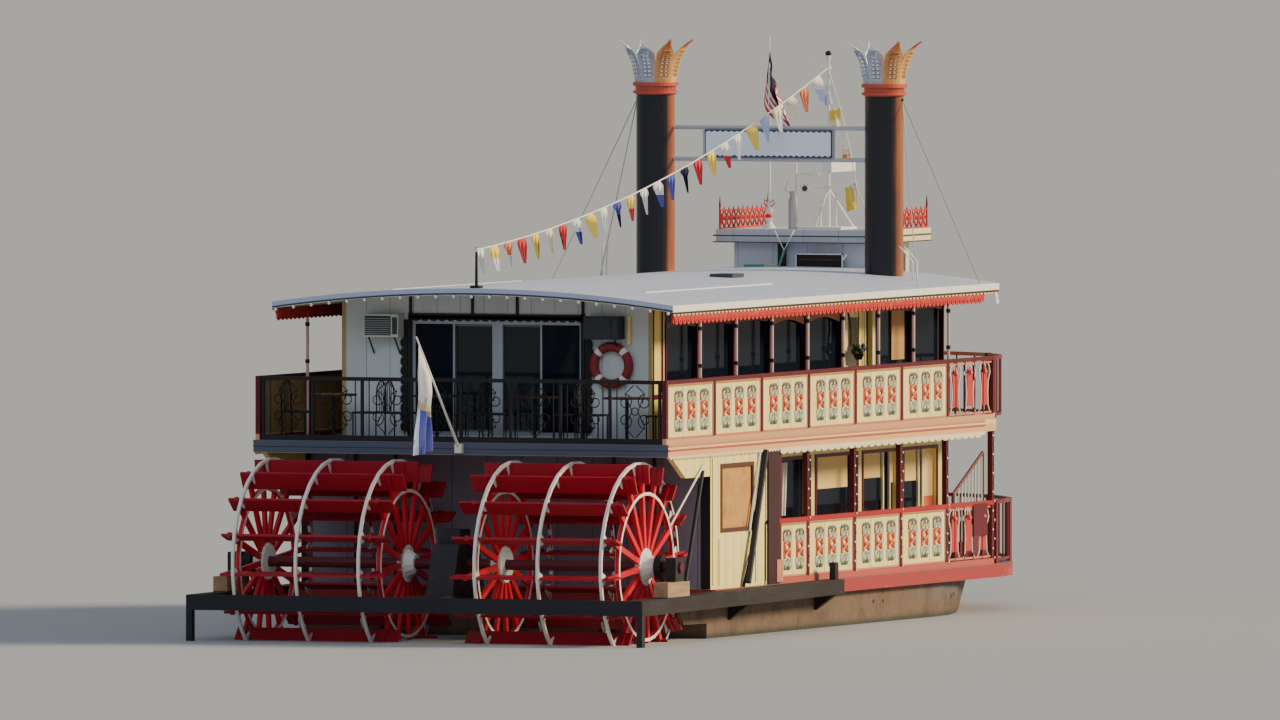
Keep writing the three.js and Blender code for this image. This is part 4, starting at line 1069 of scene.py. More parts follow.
# %% Doorway fretwork, air conditioners, life ring
stern = Piece("stern_wall_fittings")
beige_plastic = wear(Finish("air_conditioner_beige", (0.60, 0.62, 0.58), 0.5), 0.3)
grille_dark = Finish("grille_dark", (0.05, 0.06, 0.07), 0.6)
cooler_navy = Finish("air_conditioner_navy", (0.03, 0.035, 0.06), 0.5)
lamp_yellow = Finish("lamp_yellow", (0.85, 0.70, 0.25), 0.5)
STERN_SCALLOP = [(0.0, 0.0)] + arc((0.075, 0), (0.075, 0.05), 180, 360, 7)[1:-1] + [
    (0.15, 0.0), (0.15, 0.075), (0.0, 0.075)
]
leaf = pattern()
leaf.plate([STERN_SCALLOP], (0, 0, 0), ACROSS, UP, 0.03, black_iron)
stern.stamp(leaf, [move(1.555, -1.53 + 0.15 * i, 5.13) for i in range(20)])
climb = pattern()
climb.plate([STERN_SCALLOP], (0, 0, 0), UP, (0, 1, 0), 0.03, black_iron)
stern.stamp(climb, [move(1.555, -1.62, 3.3 + 0.15 * i) for i in range(12)])
down = pattern()
down.plate([STERN_SCALLOP], (0, 0, 0), (0, 0, -1), (0, -1, 0), 0.03, black_iron)
stern.stamp(down, [move(1.555, 1.62, 5.1 - 0.15 * i) for i in range(12)])
for y in (-1.53, 1.47):
    stern.block(1.54, 1.58, y, y + 0.06, 3.19, 5.22, black_iron)
for y in (-1.50, -0.36, 0.42, 1.50):
    stern.block(1.545, 1.58, y - 0.02, y + 0.02, 5.16, 5.50, black_iron)
stern.block(1.54, 1.58, -1.53, 1.53, 5.12, 5.17, black_iron)
for y0, casing in ((1.61, beige_plastic), (-2.22, cooler_navy)):
    stern.block(1.30, 1.58, y0, y0 + 0.61, 4.82, 5.19, casing)
    stern.block(1.292, 1.30, y0 + 0.13, y0 + 0.58, 4.85, 5.16, grille_dark)
    for i in range(8):
        stern.block(1.286, 1.292, y0 + 0.14, y0 + 0.57, 4.87 + 0.035 * i, 4.876 + 0.035 * i, casing)
    stern.block(1.285, 1.30, y0 + 0.02, y0 + 0.10, 4.87, 5.14, grille_dark)
    for dy in (0.08, 0.53):
        stern.rod((1.34, y0 + dy, 4.82), (1.58, y0 + dy, 4.55), 0.014, greasy_steel, sides=5)
stern.rod((1.53, -2.31, 4.74), (1.53, -2.31, 5.20), 0.035, lamp_yellow)
for y0, y1 in ((-1.43, -0.775), (0.775, 1.43)):
    stern.block(1.618, 1.624, y0, y1, DECK_2 + 0.12, 5.035, dark_glass)
stern.done("pale")

ring_red = Finish("life_ring_red", (0.26, 0.03, 0.034), 0.6)
ring_white = Finish("life_ring_white", (0.84, 0.80, 0.76), 0.6)
ring = Piece("life_ring")
circle = bmesh.ops.create_circle(
    ring.mesh, segments=12, radius=0.075,
    matrix=Matrix.Translation((0.30, 0, 0)) @ Matrix.Rotation(math.pi / 2, 4, "X")
)
bmesh.ops.spin(
    ring.mesh, geom=circle["verts"] + ring.mesh.edges[:], cent=(0, 0, 0), axis=(0, 0, 1),
    angle=math.tau, steps=48, use_merge=True
)
bmesh.ops.recalc_face_normals(ring.mesh, faces=ring.mesh.faces[:])
ring.finishes = [ring_red, ring_white]
for face in ring.mesh.faces:
    spot = face.calc_center_median()
    face.material_index = int(abs(math.degrees(math.atan2(spot.y, spot.x)) % 90 - 45) < 9)
bmesh.ops.transform(
    ring.mesh, verts=ring.mesh.verts[:],
    matrix=move(1.50, -2.02, 4.40) @ Matrix.Rotation(math.pi / 2, 4, "Y")
)
ring.done("red", smooth=True)

# %% [markdown]
# The stern rail's panels are bent iron: between every two posts a heart of two scrolls over a ring.

# %% Stern rail scrolls
RAIL_X = 0.047


def spiral(centre, radius, start, turns, count=18, shrink=0.25):
    """Points on a spiral that ends near its centre."""
    points = []
    for i in range(count):
        t = i / (count - 1)
        a, r = math.radians(start) + turns * math.tau * t, radius * (1 - t * (1 - shrink))
        points.append((centre[0] + r * math.cos(a), centre[1] + r * math.sin(a)))
    return points


scroll = pattern()
for s in (-1, 1):
    for v, flip in ((0.20, 1), (-0.20, -1)):
        scroll.wire(
            [(0, s * (0.17 + u), flip * (0.15 + w)) for u, w in spiral((0, 0), 0.13, 90, 1.3)], 0.009,
            black_iron
        )
    scroll.wire(
        [
            (0, s * 0.02, -0.42), (0, s * 0.17, -0.26), (0, s * 0.05, 0.0), (0, s * 0.17, 0.28),
            (0, s * 0.02, 0.42)
        ],
        0.009, black_iron
    )
scroll.wire(
    [(0, u, w) for u, w in arc((0, 0), (0.06, 0.06), 0, 360, 13)[:-1]], 0.008, black_iron, closed=True
)
stern_rail = Piece("stern_rail_scrolls")
bays = [-3.44 + 0.86 * (i + 0.5) for i in range(8)]
stern_rail.stamp(scroll, [move(RAIL_X, y, 3.71) for y in bays])
for y in bays:
    for dy in (-0.31, 0.31):
        stern_rail.rod((RAIL_X, y + dy, DECK_2 + 0.08), (RAIL_X, y + dy, 4.16), 0.010, black_iron, sides=5)
stern_rail.done("black", smooth=True)

# %% [markdown]
# Deck furniture stands behind the rail: dark wire chairs round small tables.

# %% Tables and chairs
furniture = Piece("deck_furniture")
table_brown = Finish("table_brown", (0.05, 0.022, 0.020), 0.5)
chair = pattern()
for x in (-0.2, 0.2):
    for y in (-0.2, 0.2):
        chair.rod((x, y, 0.001), (x, y, 0.44), 0.012, black_iron, sides=6)
chair.block(-0.22, 0.22, -0.22, 0.22, 0.42, 0.45, black_iron)
chair.wire(
    [(0.21, u, v) for u, v in [(-0.2, 0.44)] + arc((0, 0.75), (0.2, 0.2), 180, 0, 7) + [(0.2, 0.44)]],
    0.012, black_iron
)
for dy in (-0.08, 0, 0.08):
    chair.rod((0.21, dy, 0.45), (0.21, dy, 0.93), 0.007, black_iron, sides=5)
table_piece = pattern()
table_piece.rod((0, 0, 0.70), (0, 0, 0.73), 0.38, table_brown, sides=24)
table_piece.rod((0, 0, 0.03), (0, 0, 0.70), 0.03, black_iron)
table_piece.rod((0, 0, 0.001), (0, 0, 0.03), 0.24, black_iron, sides=16)
for y in (-2.55, -0.95, 0.75, 2.55):
    furniture.stamp(table_piece, [move(0.85, y, DECK_2)])
    furniture.stamp(chair, [move(0.85, y + 0.62, DECK_2) @ Matrix.Rotation(math.radians(90), 4, "Z"),
                            move(0.85, y - 0.62, DECK_2) @ Matrix.Rotation(math.radians(-90), 4, "Z")])
furniture.done("machinery")

# %% [markdown]
# White bulbs hang along the roof's after edge and follow its camber.

# %% Roof bulbs
bulb_glass = Finish("bulb_white", (0.92, 0.92, 0.88), 0.3)
bulbs = Piece("roof_edge_bulbs")
for i in range(23):
    y = -3.41 + 0.31 * i
    z = 5.535 - 0.0201847 * y * y
    bulbs.rod((0.50, y, z - 0.012), (0.53, y, z + 0.010), 0.016, black_iron, sides=6)
    bulbs.ball((0.485, y, z - 0.024), (0.026, 0.026, 0.030), bulb_glass)
bulbs.done("white", smooth=True)

# %% [markdown]
# ## Stack crowns
#
# Each crown is eight sheet-metal petals with punched holes. One petal is a flat grid that is bent
# outward, holes are cut from it by insetting its inner faces and taking the inner ones out, and the
# sheet is thickened. Eight turned copies make a crown, which stands for the plain one of the solids.

# %% Crowns
collar_salmon = wear(Finish("crown_collar", (0.56, 0.10, 0.06), 0.42, 0.3), 0.3)
STACK = (13.52, 2.025)
PETAL_COLUMNS, PETAL_ROWS = 4, 12


def petal():
    piece = pattern()
    grid = bmesh.ops.create_grid(piece.mesh, x_segments=PETAL_COLUMNS, y_segments=PETAL_ROWS, size=0.5)
    for vert in grid["verts"]:
        u, v = vert.co.x * 2, vert.co.y + 0.5
        width = 0.136 + 0.026 * v if v < 0.68 else 0.004 + 0.150 * ((1 - v) / 0.32) ** 1.5
        reach = 0.335 + 0.055 * v + 0.290 * v ** 3
        vert.co = (reach - 0.02 * u * u, u * width, 0.79 * v - 0.05 * v ** 4)
    middles = [(face, face.calc_center_median()) for face in piece.mesh.faces]
    inner = [face for face, middle in middles if 0.14 < middle.z < 0.58 and abs(middle.y) < 0.09]
    bmesh.ops.inset_individual(piece.mesh, faces=inner, thickness=0.021)
    bmesh.ops.delete(piece.mesh, geom=inner, context="FACES")
    bmesh.ops.solidify(piece.mesh, geom=piece.mesh.faces[:], thickness=0.008)
    piece.paint(piece.mesh.verts[:], crown_paint)
    return piece


crown_petal = petal()
for name, side in (("starboard", -1), ("port", 1)):
    crown = Piece("stack_crown_petals_" + name)
    centre = move(STACK[0], side * STACK[1], 8.66)
    crown.stamp(crown_petal, [centre @ Matrix.Rotation(math.tau * i / 8, 4, "Z") for i in range(8)])
    crown.rod(
        (STACK[0], side * STACK[1], 8.641), (STACK[0], side * STACK[1], 8.70), 0.375, collar_salmon,
        sides=32
    )
    crown.rod(
        (STACK[0], side * STACK[1], 8.52), (STACK[0], side * STACK[1], 8.56), 0.372, collar_salmon,
        sides=32
    )
    crown.done("copper", stands_for=("stack_crown_" + name,))

# %% [markdown]
# ## The board between the stacks
#
# A navy board with a pale scalloped panel. It is left blank: no name is carried over.

# %% Blank board
navy = Finish("navy_paint", (0.035, 0.055, 0.13), 0.45)
panel_blue = wear(Finish("panel_pale_blue", (0.80, 0.87, 0.97), 0.5), 0.15)
board = Piece("blank_board")
WAVES, HALF_WIDE, HALF_HIGH = 44, 1.105, 0.185
edge_points = [
    (-HALF_WIDE + 2 * HALF_WIDE * i / WAVES, HALF_HIGH + 0.026 * (i % 2)) for i in range(WAVES + 1)
]
wavy = edge_points + [(-u, -v) for u, v in edge_points]
for x in (STACK[0] - 0.051, STACK[0] - 0.009):
    board.block(x - 0.006, x + 0.006, -1.125, 1.125, 7.475, 7.925, navy)
board.plate([wavy], (STACK[0] - 0.062, 0, 7.70), ACROSS, UP, 0.012, panel_blue)
board.plate([wavy], (STACK[0] + 0.002, 0, 7.70), ACROSS, UP, 0.012, panel_blue)
board.done("blue_deck")

# %% [markdown]
# ## Cresting
#
# Red fretwork stands on the pilothouse roof on both sides: crossed scrolls between two rails, with
# spear points above. It replaces the two plain panels of the solids.

# %% Cresting
x0, x1 = 14.85, 17.02
crest_unit = pattern()
for s in (-1, 1):
    crest_unit.wire(
        [(s * 0.105, 0, -0.15), (s * 0.02, 0, -0.05), (-s * 0.02, 0, 0.05), (-s * 0.105, 0, 0.15)],
        0.016, bright_red
    )
    crest_unit.wire(
        [(s * (0.06 + u), 0, w) for u, w in spiral((0, 0), 0.05, 0 if s > 0 else 180, s * 1.1, 12)],
        0.012, bright_red
    )
crest_unit.ball((0, 0, 0), (0.03, 0.016, 0.03), bright_red)
crest_unit.rod((0.105, 0, 0.13), (0.105, 0, 0.21), 0.022, bright_red, tip=0.002, sides=5)
for name, side in (("starboard", -1), ("port", 1)):
    cresting = Piece("cresting_scrolls_" + name)
    y = side * 1.4175
    count = int((x1 - x0) / 0.21)
    cresting.stamp(crest_unit, [move(x0 + 0.105 + 0.21 * i, y, 6.415) for i in range(count)])
    for z in (6.258, 6.545):
        cresting.block(x0, x1, y - 0.014, y + 0.014, z - 0.007, z + 0.018, bright_red)
    for x in (x0 + 0.012, x1 - 0.012):
        cresting.rod((x, y, 6.251), (x, y, 6.62), 0.018, bright_red, sides=6)
        cresting.rod((x, y, 6.62), (x, y, 6.80), 0.020, maroon_trim, tip=0.003, sides=6)
    cresting.done("red", stands_for=("pilothouse_cresting_" + name,))

# %% [markdown]
# ## On the pilothouse
#
# The roof slab has two boards with a dark gap, and a long low window looks aft under it. A white V of
# rope, coloured hose coils and a grey pipe are stowed against the wall. The radio mast has a finial, a
# round speaker on the yard and a flat antenna, and a turned spindle stands at the flag staff's foot.

# %% Pilothouse fittings
PH_FACE, PH_EDGE = 14.90, 14.705
sea_green = Finish("hose_green", (0.10, 0.34, 0.30), 0.5)
hose_yellow = Finish("hose_yellow_green", (0.46, 0.52, 0.26), 0.5)
fittings = Piece("pilothouse_fittings")
for x0, x1, y0, y1 in (
    (PH_EDGE - 0.012, PH_EDGE, -1.47, 1.47), (PH_EDGE, 17.06, -1.482, -1.47),
    (PH_EDGE, 17.06, 1.47, 1.482)
):
    fittings.block(x0, x1, y0, y1, 6.135, 6.158, grille_dark)
    fittings.block(x0, x1, y0, y1, 6.032, 6.050, grille_dark)
fittings.block(PH_FACE - 0.020, PH_FACE, -0.74, 0.06, 5.630, 5.840, black_iron)
fittings.block(PH_FACE - 0.030, PH_FACE - 0.020, -0.70, 0.02, 5.745, 5.765, window_brown)
for y0, y1, z0, z1 in ((-0.76, -0.74, 5.61, 5.86), (0.06, 0.08, 5.61, 5.86), (-0.76, 0.08, 5.84, 5.86)):
    fittings.block(PH_FACE - 0.026, PH_FACE, y0, y1, z0, z1, white_paint)
fittings.rod((PH_FACE - 0.06, -0.78, 5.76), (PH_FACE - 0.06, -0.84, 5.85), 0.018, white_paint, sides=6)
fittings.block(PH_FACE - 0.012, PH_FACE, 0.25, 0.40, 5.62, 6.02, black_iron)
fittings.wire(
    [(PH_EDGE - 0.03, 0.37, 6.24), (PH_EDGE + 0.02, 0.22, 5.91), (PH_EDGE - 0.03, 0.03, 6.24)], 0.014,
    white_paint, sides=3
)
fittings.wire([(PH_EDGE + 0.02, 0.22, 5.91), (PH_FACE - 0.10, 0.355, 5.60)], 0.020, white_paint, sides=3)
for i, (y, finish) in enumerate(((0.62, sea_green), (0.80, sea_green), (0.50, hose_yellow))):
    coil = arc((0, 0), (0.13, 0.05), 0, 360, 17)[:-1]
    for layer in range(3):
        centre = (PH_FACE - 0.16, y, 5.624 + 0.025 * layer - 0.0202 * y * y)
        fittings.wire(
            [(centre[0] + 0.8 * v, centre[1] + u, centre[2]) for u, v in coil], 0.014, finish,
            closed=True, sides=3
        )
fittings.done("pale")

# %% Mast head and lights
mast_trim = Piece("radio_mast_fittings")
MAST_X, MAST_Y = 15.5, -0.26
mast_trim.rod((MAST_X, MAST_Y, 9.03), (MAST_X, MAST_Y, 9.12), 0.035, white_paint, tip=0.055)
mast_trim.ball((MAST_X, MAST_Y, 9.15), (0.055, 0.055, 0.05), black_iron)
mast_trim.rod(
    (MAST_X - 0.10, MAST_Y + 0.38, 6.92), (MAST_X + 0.04, MAST_Y + 0.38, 6.92), 0.075, white_paint,
    tip=0.03, sides=16
)
mast_trim.rod(
    (MAST_X - 0.11, MAST_Y + 0.38, 6.92), (MAST_X - 0.10, MAST_Y + 0.38, 6.92), 0.045, grille_dark,
    sides=16
)
mast_trim.block(MAST_X - 0.05, MAST_X + 1.06, MAST_Y + 0.071, MAST_Y + 0.10, 7.20, 7.37, panel_blue)
mast_trim.rod((MAST_X - 0.15, MAST_Y + 0.52, 6.251), (MAST_X - 0.15, MAST_Y + 0.52, 7.62), 0.022, white_paint)
mast_trim.rod(
    (MAST_X - 0.15, MAST_Y + 0.10, 7.16), (MAST_X - 0.15, MAST_Y + 0.52, 7.16), 0.020, white_paint,
    sides=6
)
mast_trim.ball((MAST_X - 0.15, MAST_Y + 0.52, 7.66), (0.035, 0.035, 0.055), collar_salmon)
mast_trim.wire(
    [
        (MAST_X - 0.15, MAST_Y + 0.54, 6.80), (MAST_X - 0.15, MAST_Y + 0.72, 6.90),
        (MAST_X - 0.15, MAST_Y + 0.62, 7.12)
    ],
    0.014, white_paint
)
for y, x, top in ((-0.10, -0.10, 6.75), (-0.02, 0.02, 6.60), (0.16, -0.06, 6.85)):
    mast_trim.rod((MAST_X + x, MAST_Y - y, 6.291), (MAST_X + x, MAST_Y - y, top), 0.020, white_paint, sides=6)
mast_trim.done("white")

# height, radius and colour down the turned spindle
SPINDLE = [
    (6.251, 0.11, white_paint), (6.36, 0.035, white_paint), (6.42, 0.065, white_paint),
    (6.48, 0.035, bright_red), (6.54, 0.070, white_paint), (6.60, 0.035, white_paint),
    (6.68, 0.050, white_paint)
]
spindle = Piece("flag_staff_spindle")
for (low, r0, _), (high, r1, finish) in zip(SPINDLE, SPINDLE[1:]):
    spindle.rod((15.75, 0.89, low), (15.75, 0.89, high), r0, finish, tip=r1, sides=16)
for side in (-1, 1):
    spindle.wire(
        [
            (15.75, 0.89 + side * u, 6.60 + v)
            for u, v in ((0.03, 0.0), (0.09, 0.05), (0.08, 0.12), (0.04, 0.09))
        ],
        0.010, bright_red
    )
spindle.done("white", smooth=True)

# %% [markdown]
# Thin wire stays hold the stacks. They are set up taut, from an eye on each stack's collar.

# %% Stays and roof details
stays = Piece("stack_stays")
stay_wire = Finish("stay_wire", (0.30, 0.36, 0.30), 0.5)
for side in (-1, 1):
    for foot in ((14.40, 3.38), (11.90, 3.25)):
        stays.rod(
            (STACK[0], side * (STACK[1] + 0.32), 8.44), (foot[0], side * foot[1], 5.39), 0.008,
            stay_wire, sides=5
        )
    stays.ball((STACK[0], side * (STACK[1] + 0.32), 8.44), (0.03, 0.03, 0.03), greasy_steel)
stays.done("galvanised")

on_roof = Piece("roof_top_details")
for side in (-1, 1):
    camber = 5.61 - 0.0202 * 2.2 ** 2
    on_roof.block(2.44, 8.0, side * 2.2 - 0.035, side * 2.2 + 0.035, camber, camber + 0.05, white_paint)
    for x in (12.95, 13.15):
        on_roof.wire(
            [(x, side * 2.75, 5.45), (x, side * 2.75, 5.80), (x - 0.25, side * 2.62, 6.05)], 0.014,
            white_paint
        )
on_roof.block(8.84, 9.35, -1.2, -0.8, 5.575, 5.68, grille_dark)
on_roof.done("white")

# %% [markdown]
# ## Flags and pennants
#
# A pennant line hangs from the radio mast to the small mast on the roof's after end. It sags, so it is
# a free line with a real length. Its points follow a parabola, which is close to a chain's curve when
# the sag is small. It stands for the plain line of the solids and takes the same route.

# %% Pennant line
LINE_FROM, LINE_TO, SAG = at(15.5, -0.26, 8.92), at(0.70, 0, 6.26), 0.42
LINE_STEPS = 60


def line_point(t):
    """A point on the sagging line; t runs from 0 at the radio mast to 1 at the after mast."""
    return LINE_FROM.lerp(LINE_TO, t) - Vector((0, 0, 4 * SAG * t * (1 - t)))


white_line = Finish("white_line", (0.80, 0.78, 0.70), 0.8)
route = [line_point(0.0016 + 0.9970 * i / LINE_STEPS) for i in range(LINE_STEPS + 1)]
line_curve = bpy.data.curves.new("pennant_rope", "CURVE")
line_curve.dimensions, line_curve.bevel_depth, line_curve.bevel_resolution = "3D", 0.012, 1
line_curve.use_fill_caps = True
spline = line_curve.splines.new("POLY")
spline.points.add(LINE_STEPS)
for point, place in zip(spline.points, route):
    point.co = (*place, 1)
line_curve.materials.append(white_line.material)
pennant_rope = bpy.data.objects.new("pennant_rope", line_curve)
bpy.context.scene.collection.objects.link(pennant_rope)
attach(pennant_rope, "boat")
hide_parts("pennant_line")
line_length = sum((b - a).length for a, b in zip(route, route[1:]))
tuple(route[0])
print("pennant line", round(line_length, 3), "m")

ties = Piece("pennant_line_ties")
for place in (LINE_FROM, LINE_TO):
    x, y, z = place.x - DECK_AFT, place.y, place.z - WATER
    ties.rod((x, y, z - 0.03), (x, y, z + 0.03), 0.044, white_line, sides=12)
ties.done("white")

# %% [markdown]
# All cloth is made the same way. A flat grid is the cut, and a function says where each of its points
# hangs. The faces get their colour while the grid is still flat, so stripes follow the cloth.

# %% Cloth
def cloth(piece, columns, rows, hang, colour_at):
    """Adds a thin sheet. u runs across the cut and v down it, both from 0 to 1."""
    verts = bmesh.ops.create_grid(piece.mesh, x_segments=columns, y_segments=rows, size=0.5)["verts"]
    faces = list({face for vert in verts for face in vert.link_faces})
    for face in faces:
        spot = face.calc_center_median()
        face.material_index = piece.number(colour_at(spot.x + 0.5, 0.5 - spot.y))
    for vert in verts:
        vert.co = hang(vert.co.x + 0.5, 0.5 - vert.co.y)
    bmesh.ops.solidify(piece.mesh, geom=faces, thickness=0.002)


def dye(name, colour):
    return Finish("cloth_" + name, colour, 0.85)


yellow = dye("yellow", (0.86, 0.66, 0.12))
red_cloth = dye("red", (0.62, 0.05, 0.06))
white_cloth = dye("white", (0.84, 0.83, 0.80))
blue_cloth = dye("blue", (0.10, 0.11, 0.42))
orange = dye("orange", (0.78, 0.26, 0.12))
cream_cloth = dye("cream", (0.86, 0.78, 0.58))
pale_blue = dye("pale_blue", (0.50, 0.60, 0.82))
navy_cloth = dye("navy", (0.020, 0.022, 0.060))
tan_cloth = dye("tan", (0.60, 0.48, 0.28))

# %% [markdown]
# A pennant is a triangle of 0.26 by 0.42 m. Wind has rolled most of them up, so each one keeps only a
# share of its width and the rest goes into folds.

# %% Pennants
PENNANT_WIDE, PENNANT_LONG = 0.26, 0.42
# from the radio mast: colour above, colour below, share of the width that shows
PENNANTS = [
    (white_cloth, pale_blue, 1.0), (orange, orange, 0.6), (cream_cloth, cream_cloth, 1.0),
    (cream_cloth, white_cloth, 0.8), (pale_blue, pale_blue, 0.5), (yellow, yellow, 1.0),
    (white_cloth, white_cloth, 0.3), (white_cloth, red_cloth, 0.7), (yellow, yellow, 0.6),
    (red_cloth, red_cloth, 0.5), (navy_cloth, navy_cloth, 0.2), (blue_cloth, blue_cloth, 0.4),
    (white_cloth, blue_cloth, 0.7), (white_cloth, white_cloth, 0.2), (yellow, red_cloth, 0.4),
    (blue_cloth, navy_cloth, 0.2), (white_cloth, white_cloth, 0.4), (yellow, yellow, 1.0),
    (white_cloth, blue_cloth, 0.6), (red_cloth, red_cloth, 0.4), (cream_cloth, cream_cloth, 0.25),
    (yellow, yellow, 0.3), (red_cloth, red_cloth, 0.6), (orange, white_cloth, 0.2),
    (yellow, white_cloth, 0.9), (white_cloth, white_cloth, 0.3),
]


def pennant_hang(t, share, turn):
    """Where one pennant's points are: sewn to the line above, turned and folded by the wind below."""
    along = (line_point(t - 0.01) - line_point(t + 0.01)).normalized()
    turned = Vector((math.cos(turn), math.sin(turn), 0))
    fold_way = Vector((-math.sin(turn), math.cos(turn), 0))
    fold_deep = 0.2 * math.sqrt(1 - share * share)

    def hang(u, v):
        half = (0.5 - 0.38 * v) * PENNANT_WIDE
        free = min(1, 3 * v)
        across = along.slerp(turned, free) * ((2 * u - 1) * half * (1 - free * (1 - share)))
        fold = fold_way * (half * fold_deep * free * math.cos(5 * math.pi * u))
        blown = Vector((0.06 * math.sin(3 * turn), -0.10 * share, -PENNANT_LONG * (1 - 0.06 * share))) * v
        return line_point(t) + across + fold + blown - Vector((0, 0, 0.006))

    return hang


pennants = Piece("pennants")
for i, (above, below, share) in enumerate(PENNANTS):
    hang = pennant_hang(0.035 + 0.0382 * i, 0.35 + 0.65 * share, 0.4 * math.sin(2.4 * i) - 1.15)
    cloth(pennants, 5, 6, hang, lambda u, v: above if v < 0.45 else below)
sewn = pennants.done("white", stands_for=("pennant_line",))

# %% [markdown]
# Five signal flags hang on a halyard from the mast's head to the yard's end. The halyard is set up
# taut, so it is rigging and not a free line.

# %% Signal flags
mast_head = Vector((15.5, -0.27, 8.86))
yard_end = Vector((15.5, -0.755, 6.97))
rail_foot = Vector((15.62, -1.0, 6.25))
halyard = Piece("signal_halyard")
bowed = [
    mast_head.lerp(yard_end, i / 8) + Vector((0, -0.05 * math.sin(math.pi * i / 8), 0))
    for i in range(9)
]
halyard.wire([tuple(place) for place in bowed] + [tuple(rail_foot)], 0.010, white_line)
halyard.done("white")

# place down the halyard, width, drop, side to which it falls, colour above, colour below
SIGNALS = [
    (0.10, 0.17, 0.34, 1, white_cloth, pale_blue), (0.32, 0.20, 0.34, 1, yellow, cream_cloth),
    (0.66, 0.14, 0.20, 1, cream_cloth, orange), (0.97, 0.06, 0.30, 1, white_cloth, white_cloth),
    (0.99, 0.20, 0.40, 1, yellow, yellow)
]
signals = Piece("signal_flags")
for down, wide, drop, side, above, below in SIGNALS:
    start = mast_head.lerp(yard_end, down) + Vector((0, -0.05 * math.sin(math.pi * down), -0.01))
    cloth(
        signals, 6, 4,
        lambda u, v: at(
            start.x + 0.16 * wide * math.sin(9 * u + 2 * v), start.y + side * wide * u * (1 - 0.25 * v),
            start.z - drop * v - 0.22 * wide * u * u
        ),
        lambda u, v: above if v < 0.5 else below
    )
hung = signals.done("white")

# %% [markdown]
# A striped flag hangs limp from the staff on the pilothouse. Its canton stays plain. Where a flag
# hangs in still air, its upright threads stay upright and its long threads fall, in deep folds.

# %% Striped flag
STAFF = at(15.75, 0.89, 0)
HOIST, FLY = 0.78, 1.25


def striped(u, v):
    if v < 7 / 13 and u < 0.42:
        return navy_cloth
    return red_cloth if int(v * 13) % 2 == 0 else white_cloth


def limp(u, v):
    drop = 0.86 * u ** 0.62
    fold = 0.085 * math.sin(2.6 * math.tau * u + 0.8 * v) * min(1, 4 * u)
    aside = 0.11 * v - 0.68 * u * (0.25 + 0.75 * v) + 0.05 * v * math.sin(2.6 * math.tau * u)
    return Vector((STAFF.x - 0.02 + fold, STAFF.y - 0.024 + aside, 9.20 + WATER - HOIST * v - drop))


flag = Piece("striped_flag")
cloth(flag, 26, 13, limp, striped)
hung = flag.done("red")

# %% [markdown]
# The stern flag is tied to the leaning staff at two corners and falls straight down between the wheels:
# white above, blue below.

# %% Stern flag
LEAN_LOW, LEAN_HIGH = at(-0.05, 0, 3.09), at(-1.86, 0, 4.925)


def stern_colour(u, v):
    if v < 0.50:
        return white_cloth
    if v < 0.58:
        return tan_cloth
    return pale_blue if u < 0.17 or u > 0.83 else blue_cloth


def stern_hang(u, v):
    tied = LEAN_LOW.lerp(LEAN_HIGH, 0.94 - 0.30 * u)
    foot = at(-1.78 + 0.66 * u, 0, 3.04 + 0.08 * u)
    pinch = 1 - 0.55 * math.sin(math.pi * min(1, 1.1 * v)) ** 2
    place = tied.lerp(foot, v)
    middle = at(-1.46, 0, 0).x
    fold = 0.07 * math.sin(2 * math.tau * u + v) * min(1, 4 * v) + 0.03 * v
    return Vector((middle + (place.x - middle) * pinch, fold, place.z - 0.022))


stern_flag = Piece("stern_flag")
cloth(stern_flag, 18, 14, stern_hang, stern_colour)
hung = stern_flag.done("white")

# %% [markdown]
# ## Studio
#
# The boat floats, so the floor is its water line and cuts through the hull. A wide sun with a soft
# edge stands in for a big studio lamp on the starboard side, and a pale sky fills the shade.

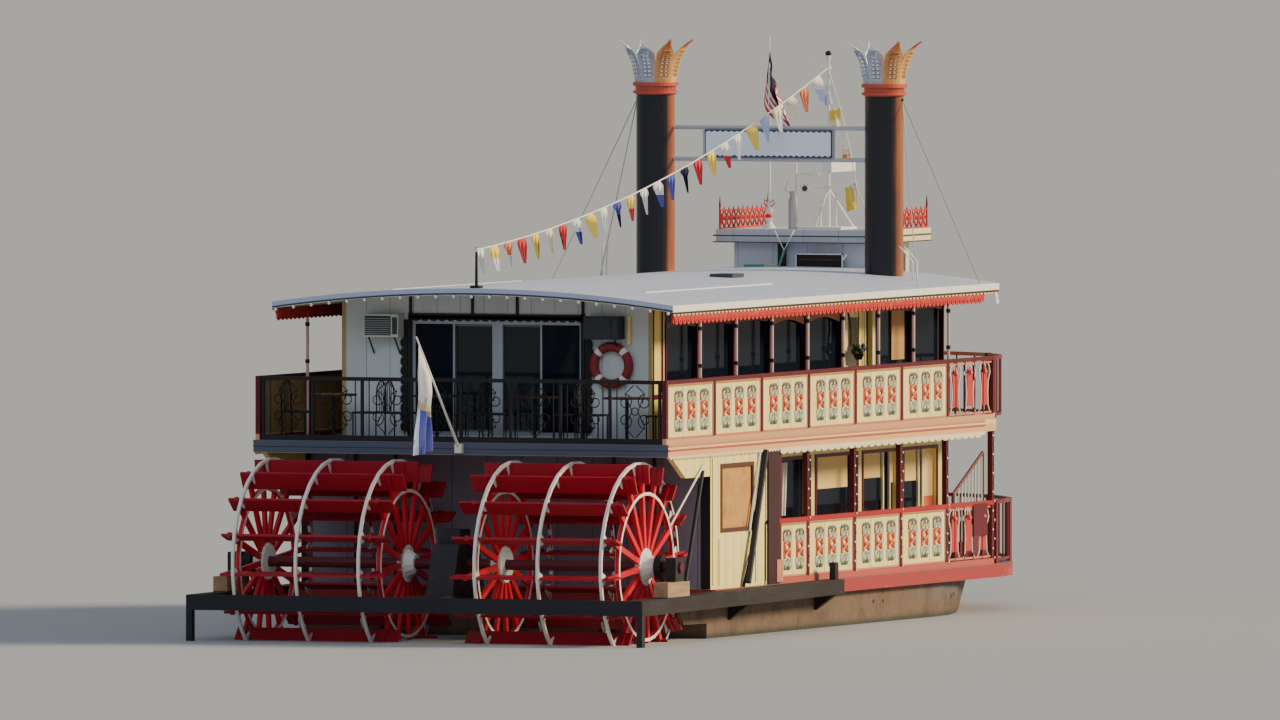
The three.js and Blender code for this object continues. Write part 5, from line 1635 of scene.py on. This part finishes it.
# %% Floor, light and sky
floor_finish = Finish("studio_floor", (0.40, 0.42, 0.44), 0.85)
floor_mesh = bmesh.new()
bmesh.ops.create_grid(
    floor_mesh, x_segments=1, y_segments=1, size=3000, matrix=Matrix.Translation((0, 0, WATER))
)
floor_data = bpy.data.meshes.new("studio_floor")
floor_mesh.to_mesh(floor_data)
floor_mesh.free()
floor = bpy.data.objects.new("studio_floor", floor_data)
bpy.context.scene.collection.objects.link(floor)
dress(floor, floor_finish)


def lamp(name, azimuth, height, strength, colour, softness):
    """A sun lamp that shines from the given compass side: azimuth 0 is the bow, 90 is port."""
    light = bpy.data.lights.new(name, "SUN")
    light.energy, light.color, light.angle = strength, colour, math.radians(softness)
    obj = bpy.data.objects.new(name, light)
    a, h = math.radians(azimuth), math.radians(height)
    towards = Vector((math.cos(a) * math.cos(h), math.sin(a) * math.cos(h), math.sin(h)))
    obj.rotation_euler = towards.to_track_quat("Z", "Y").to_euler()
    bpy.context.scene.collection.objects.link(obj)


lamp("key_lamp", -62, 26, 5.4, (1.0, 0.82, 0.56), 14)
lamp("fill_lamp", -165, 35, 0.6, (0.80, 0.88, 1.0), 40)
sky = bpy.data.worlds.new("studio_sky")
sky.use_nodes = True
sky.node_tree.nodes["Background"].inputs[0].default_value = (0.80, 0.86, 0.94, 1)
sky.node_tree.nodes["Background"].inputs[1].default_value = 0.42
bpy.context.scene.world = sky

# %% [markdown]
# The photograph was taken with a long lens, far off the starboard quarter and a little above the boat.
# The camera stands in the same direction, with the boat larger in the frame. At this distance the two
# ends of the boat differ by 4 % in scale.

# %% Camera
camera_data = bpy.data.cameras.new("camera")
camera_data.sensor_width, camera_data.lens = 36, 878.6
camera_data.clip_start, camera_data.clip_end = 10, 6000
camera = bpy.data.objects.new("camera", camera_data)
aim, seen_from = at(8.15, 0.15, 4.28), Vector((-947.8, -380.0, 30.3)).normalized()
camera.location = aim + 510.0 * seen_from
camera.rotation_euler = (aim - camera.location).to_track_quat("-Z", "Y").to_euler()
bpy.context.scene.collection.objects.link(camera)
bpy.context.scene.camera = camera
